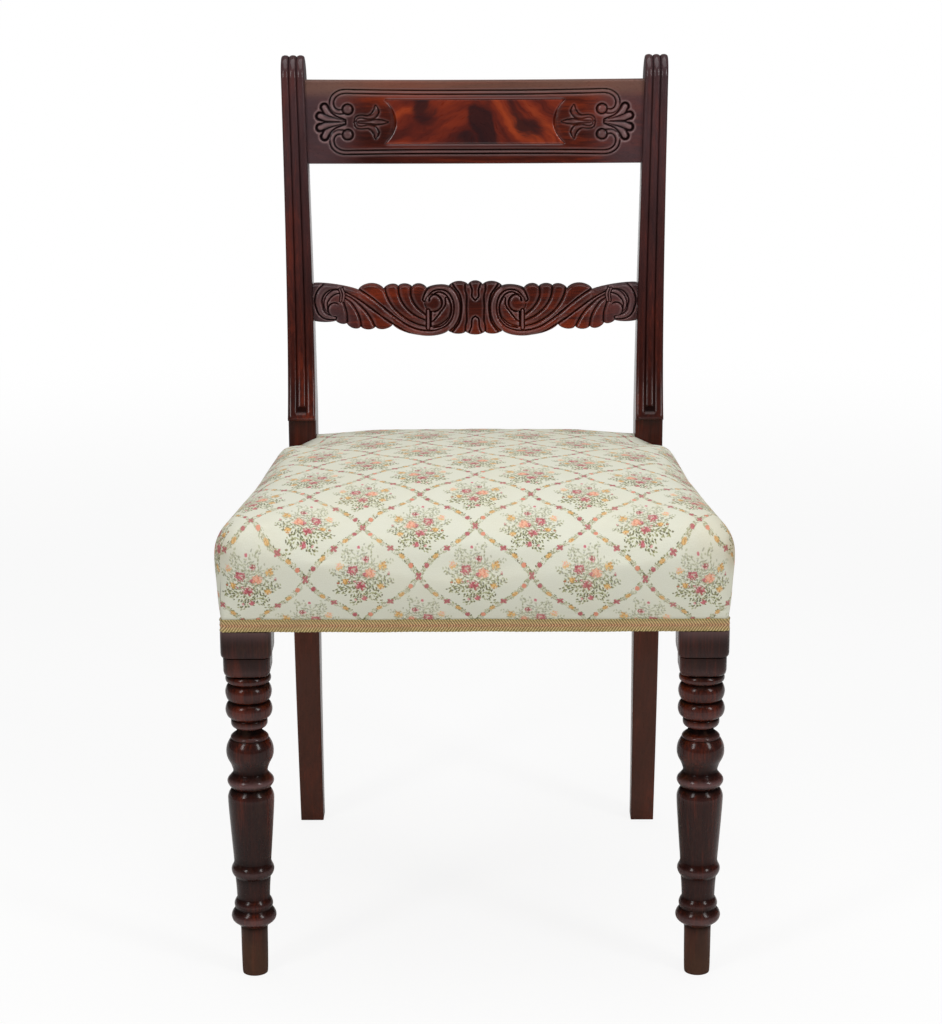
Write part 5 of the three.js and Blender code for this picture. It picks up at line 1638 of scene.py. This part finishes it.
# %% Printing
cream = fabric.mix(threads.rise(0.3, 0.7) * 0.5, CREAM, SHADED_CREAM)
ink = fabric.mix(pale_leaves * (0.55 + lower * 0.35), cream, SAGE)
ink = fabric.mix(dark_leaves * (0.45 + lower * 0.5), ink,
                 fabric.mix(dark_luck.rise(0.3, 0.7), DARK_LEAF, OLIVE))
for flower_x, flower_y, radius, rim, heart in FLOWERS:
    distance = fabric.node("ShaderNodeVectorMath", {"operation": "DISTANCE"},
                           [bouquet_place, (flower_x, flower_y, 0)], "Value")
    ruffled = distance / radius + (petals - 0.5) * PETAL_RUFFLE + (stitch_luck - 0.5) * 0.5
    shade = (distance / radius * 0.5 + (stitch_tone - 0.5) * 2.2).rise(0.0, 0.6)
    laid = spot(ruffled, 0.95, 0.12) * (stitch_gap.over(0.17) * 0.6 + 0.3)
    ink = fabric.mix(laid, ink, fabric.mix(shade, heart, rim))
ink = fabric.mix(stem * 0.55, ink, OLIVE)
ink = fabric.mix(trellis_leaf * 0.85, ink, fabric.mix(leaf_luck.over(0.6), OLIVE, SAGE))
ink = fabric.mix(honey_vine * 0.14, ink, HONEY)
ink = fabric.mix(honey_bud * 0.85, ink, fabric.mix(petals.rise(0.4, 0.6), OCHRE, HONEY))
bud_colour = fabric.mix(crimson_side, CORAL, ROSE)
bud_colour = fabric.mix(petals.rise(0.35, 0.6) * crimson_side, bud_colour, CRIMSON)
ink = fabric.mix(rose_bud * 0.9, ink, bud_colour)
star = fabric.mix(petals.rise(0.45, 0.65), CRIMSON, ROSE)
ink = fabric.mix(middle_flower.greater(crossing_flower) * 0.85, ink, star)

# %% Weave and wear of the cloth
WARP_STEP, WEFT_STEP = 0.62, 0.7
x, y, z = fabric.parts(fabric.node("ShaderNodeTexCoord", {}, (), "Object"))
seam = 1 - abs(share - 0.5).rise(0.1, 0.3)
slit = seam * (1 - z.rise(0.384, 0.41)) * x.under(0)
warp = abs((cloth_u * (math.pi / WARP_STEP)).maths("SINE"))
weft = abs((cloth_v * (math.pi / WEFT_STEP)).maths("SINE"))
ribs = fabric.noise(fabric.joined(cloth_u * 0.12, cloth_v * 1.4, 3), 1, 3, 0.6)
uneven = fabric.noise(fabric.joined(cloth_u * 0.02, cloth_v * 0.02, 9), 1, 3, 0.5)
soil_noise = fabric.noise(fabric.joined(x * 28, y * 28, z * 28), 1, 4, 0.6)


def blot(middle_x, middle_z, width, height, start):
    """A soft stain on the front: its middle, half its size, and where it starts to fade."""
    return 1 - apart((x - middle_x) / width, (z - middle_z) / height).rise(start, 1.0)


right_soil = blot(0.252, 0.432, 0.027, 0.036, 0.2)
right_haze = blot(0.24, 0.445, 0.06, 0.045, 0.1) * 0.3
left_soil = blot(-0.25, 0.44, 0.035, 0.04, 0.2) * 0.35
soiled = (right_soil.greater(right_haze).greater(left_soil) * (0.45 + soil_noise * 0.9)).held()
colour = fabric.mix(ribs.rise(0.35, 0.65) * 0.1, ink, rgba(196, 192, 160))
colour = fabric.mix(uneven.rise(0.4, 0.7) * 0.12, colour, rgba(222, 212, 178))
colour = fabric.mix(soiled * 0.62, colour, rgba(206, 172, 112), "MULTIPLY")
colour = fabric.mix(slit * 0.75, colour, rgba(70, 56, 40))
weave = fabric.bump(warp * 0.5 + weft * 0.5 + ribs * 0.8 + threads * 0.4, 0.00012)
figured = fabric.finish(Base_Color=colour, Roughness=0.72 + threads * 0.16, Normal=weave)
print("fabric drawn with", len(fabric.tree.nodes), "nodes")

# %% Cover
cover = subdivided(skin, 1)
notch_round_posts(cover, close=False)
seat_cover = new_piece("seat_fabric", cover, figured, ["seat_cover"])
thick = seat_cover.modifiers.new("thickness", "SOLIDIFY")
thick.thickness, thick.offset = 0.0011, -1

# %% [markdown]
# The braid hides the tacks along the foot of the cover. It is a narrow woven tape: a
# corded edge above and below, and between them a flat band with a salmon stripe. Each
# row of threads slants its own way, so the rows are waves of the tape's own surface.

# %% Path of a tape
def even_path(path, step):
    """Points at even distances along a line, and the distances."""
    lengths = np.linalg.norm(np.diff(path, axis=0), axis=1)
    keep = np.concatenate([[True], lengths > 1e-6])
    path = path[keep]
    places = np.concatenate([[0], np.cumsum(np.linalg.norm(np.diff(path, axis=0), axis=1))])
    even = np.linspace(0, places[-1], int(places[-1] / step) + 1)
    return np.stack([np.interp(even, places, path[:, i]) for i in (0, 1)], axis=-1), even


# %% Rows of the braid
BRAID_FOOT, BRAID_HEIGHT, BRAID_THICK = 354.0, 12.5, 2.0
BRAID_MIDDLE, BAND_DEPTH, HEM, BACK_GAP = BRAID_HEIGHT / 2, 0.95, 0.6, 0.05
THREAD_STEP, THREAD_RISE, ROW_POINTS = 2.7, 0.16, 5
# middle height of each row of threads, half its height, how far it stands out, and slant
BRAID_ROWS = [(1.2, 1.2, 0.75, 1.0), (3.6, 1.2, 0.35, -1.2), (6.25, 1.5, 0.6, 1.2),
              (8.9, 1.2, 0.35, -1.2), (11.3, 1.2, 0.75, 1.0)]


def braid_mesh(path, name):
    """A closed tape along a path, its outer face in rows of slanting threads."""
    line, along = even_path(path, 0.55)
    ahead = np.gradient(line, axis=0)
    ahead /= np.linalg.norm(ahead, axis=1, keepdims=True)
    outward = np.stack([ahead[:, 1], -ahead[:, 0]], axis=-1)
    heights, outs = [], []
    for middle, half, stand, slant in BRAID_ROWS:
        for share in np.linspace(-0.86, 0.86, ROW_POINTS):
            heights.append(middle + share * half)
            wave = np.sin(2 * np.pi * (along / THREAD_STEP + slant * share * 0.28))
            lift = stand * math.sqrt(1 - share ** 2) + THREAD_RISE * wave * (1 - share ** 2)
            outs.append(BRAID_THICK - BAND_DEPTH + lift)
    heights, outs = np.array(heights), np.array(outs).T
    wander = 0.18 * np.sin(along / 31) + 0.14 * np.sin(along / 11.3 + 1)
    fray = 0.14 * np.sin(2 * np.pi * along / (THREAD_STEP * 2))
    up = heights[None, :] + wander[:, None]
    up[:, :3] += fray[:, None]
    up[:, -3:] += fray[:, None]
    inner_up = np.array([BRAID_HEIGHT - HEM, BRAID_MIDDLE, HEM])[None, :] + wander[:, None]
    ups = np.concatenate([up, inner_up], axis=1)
    outs = np.concatenate([outs, np.full(inner_up.shape, BACK_GAP)], axis=1)
    flat = line[:, None, :] + outward[:, None, :] * outs[..., None]
    rings = np.concatenate([flat, (BRAID_FOOT + ups)[..., None]], axis=-1)
    places = np.stack([np.broadcast_to(along[:, None], ups.shape), ups,
                       np.zeros(ups.shape)], axis=-1)
    return tube(rings, {"tape": places.reshape(-1, 3)}, name)


# %% Finish of the braid
tape = Recipe("woven_braid", Specular_IOR_Level=0.3, Sheen_Weight=0.2, Sheen_Roughness=0.5)
run, height, _ = tape.parts(tape.mark("tape", "Vector"))
lint = tape.noise(tape.joined(run * 0.55, height * 0.8, 0), 1, 3, 0.7)
fade = tape.noise(tape.joined(run * 0.02, height * 0.1, 4), 1, 2, 0.5)
from_middle = abs(height - BRAID_MIDDLE)
tick = (run * (2 * math.pi / THREAD_STEP) + from_middle * 1.7).maths("SINE") * 0.5 + 0.5
fine_tick = (run * (2 * math.pi / 0.8) + height * 3).maths("SINE") * 0.5 + 0.5
middle_stripe = 1 - from_middle.rise(1.2, 1.8)
edge_cord = from_middle.rise(3.6, 4.2)
colour = tape.mix(edge_cord, rgba(214, 180, 122), rgba(190, 170, 106))
colour = tape.mix(middle_stripe * (0.5 + lint * 0.7), colour, rgba(214, 146, 112))
# Painted shade in the gaps between the slanting threads, and a painted highlight on their
# crests.
colour = tape.mix((1 - tick).rise(0.35, 0.8) * 0.8, colour, rgba(98, 76, 40))
colour = tape.mix(tick.rise(0.75, 1.0) * lint.rise(0.35, 0.6), colour, rgba(236, 214, 166))
colour = tape.mix(fine_tick * lint.rise(0.4, 0.7) * 0.4, colour, rgba(224, 200, 150))
colour = tape.mix(lint.rise(0.5, 0.72) * 0.5, colour, rgba(128, 98, 56))
colour = tape.mix(fade.rise(0.45, 0.7) * 0.25, colour, rgba(150, 122, 82))
weave = tape.bump(tick * 0.5 + fine_tick * 0.4 + lint * 0.6, 0.0005)
braid_cloth = tape.finish(Base_Color=colour, Roughness=0.8 + lint * 0.15, Normal=weave)

# %% Braid
foot_half = seat_outline(1, 0, 0, FIT)
front_half = foot_half[foot_half[:, 1] < POST_FRONT - FIT - 1]
last = np.array([[side_outer(POST_FRONT - FIT) + COVER_OFFSET + FIT, POST_FRONT - FIT]])
front_half = np.concatenate([front_half, last])
round_front = np.concatenate([front_half[::-1] * (-1, 1), front_half[1:]])
rear_end = NOTCH_X - FIT
rear_line = np.array([[rear_end, SEAT_REAR + FIT], [-rear_end, SEAT_REAR + FIT]])
for name, path, solid in (("front_tape", round_front, "front_braid"),
                          ("rear_tape", rear_line, "rear_braid")):
    new_piece(name, braid_mesh(path, name), braid_cloth, [solid])

# %% [markdown]
# The room is a pale floor with soft light from both sides and above, as a dealer lights
# a chair. Far from the chair the floor and the world turn plain white, but only for
# the camera and for reflections, so that no extra light falls on the wood.

# %% Floor
WHITE = (1, 1, 1, 1)
FLOOR_REACH, FLOOR_POINTS = 6.0, 25
WHITE_FROM, WHITE_AT = 1.2, 3.0  # metres from the chair between which the floor whitens
LEAST_GLOW = 0.88
stage = bpy.context.scene
stage.view_settings.view_transform = "Standard"
steps = np.linspace(-FLOOR_REACH, FLOOR_REACH, FLOOR_POINTS)
floor_points = [(x, y, 0.0) for y in steps for x in steps]
floor_mesh = bpy.data.meshes.new("floor")
floor_mesh.from_pydata(floor_points, [], skin_faces(FLOOR_POINTS, FLOOR_POINTS, closed=False))
floor = bpy.data.objects.new("floor", floor_mesh)
stage.collection.objects.link(floor)
paper = Recipe("pale_floor", Roughness=0.9, Specular_IOR_Level=0.1)
x, y, _ = paper.parts(paper.node("ShaderNodeTexCoord", {}, (), "Object"))
far = apart(x, y).rise(WHITE_FROM, WHITE_AT)
floor_mesh.materials.append(paper.finish(Base_Color=rgba(250, 250, 249)))
rays = paper.node("ShaderNodeLightPath", {}, (), "Is Camera Ray")
seen = rays.greater(rays.output("Is Glossy Ray"))
glow = paper.node("ShaderNodeEmission", {}, {"Color": WHITE, "Strength": 1.0})
lit = Value(paper, paper.surface.outputs[0])
whitened = far * (1 - LEAST_GLOW) + LEAST_GLOW
glowing = (whitened * rays).greater(far * seen)
shown = paper.node("ShaderNodeMixShader", {}, [glowing, lit, glow])
paper.set_socket(paper.end.inputs[0], shown)
print("floor", 2 * FLOOR_REACH, "m wide")

# %% World
WORLD_LIGHT, WORLD_SEEN = 0.14, 1.0
world = bpy.data.worlds.new("studio")
stage.world = world
sky = Drawing(world)
rays = sky.node("ShaderNodeLightPath", {}, (), "Is Camera Ray")
strength = sky.node("ShaderNodeMapRange", {},
                    {"Value": rays, "To Min": WORLD_LIGHT, "To Max": WORLD_SEEN})
background = sky.node("ShaderNodeBackground", {}, {"Color": WHITE, "Strength": strength})
sky.node("ShaderNodeOutputWorld", {}, [background])
print("world strength", WORLD_LIGHT, "as light and", WORLD_SEEN, "as seen")


# %% Lamps
def lamp(name, place, aim, width, height, watts):
    """A soft box of a width and height in metres, turned to what it lights."""
    light = bpy.data.lights.new(name, "AREA")
    light.shape = "RECTANGLE"
    light.size, light.size_y, light.energy = width, height, watts
    holder = bpy.data.objects.new(name, light)
    holder.location = place
    holder.rotation_euler = (Vector(aim) - Vector(place)).to_track_quat("-Z", "Y").to_euler()
    stage.collection.objects.link(holder)
    print(name, watts, "W")


lamp("left_softbox", (-1.6, -2.0, 2.0), (0, 0, 0.5), 0.5, 1.5, 27)
lamp("right_softbox", (1.8, -1.7, 1.9), (0, 0, 0.5), 0.5, 1.5, 28)
lamp("top_softbox", (0.1, 0.05, 2.6), (0, 0, 0.4), 2.2, 1.8, 35)

# %% Camera
EYE = Vector((0.0115, -2.72524, 1.10867))
AIM = Vector((-0.00426, -0.01353, 0.41234))
ROLL = -0.004
LENS, SENSOR = 97.2, 36.0
ahead = (AIM - EYE).normalized()
right = ahead.cross(Vector((0, 0, 1))).normalized()
up = right.cross(ahead)
rolled_right = math.cos(ROLL) * right + math.sin(ROLL) * up
rolled_up = -math.sin(ROLL) * right + math.cos(ROLL) * up
camera_data = bpy.data.cameras.new("camera")
camera_data.lens, camera_data.sensor_width = LENS, SENSOR
camera = bpy.data.objects.new("camera", camera_data)
axes = Matrix((rolled_right, rolled_up, -ahead)).transposed().to_4x4()
camera.matrix_world = Matrix.Translation(EYE) @ axes
stage.collection.objects.link(camera)
stage.camera = camera
print("camera", round((AIM - EYE).length, 2), "m away")
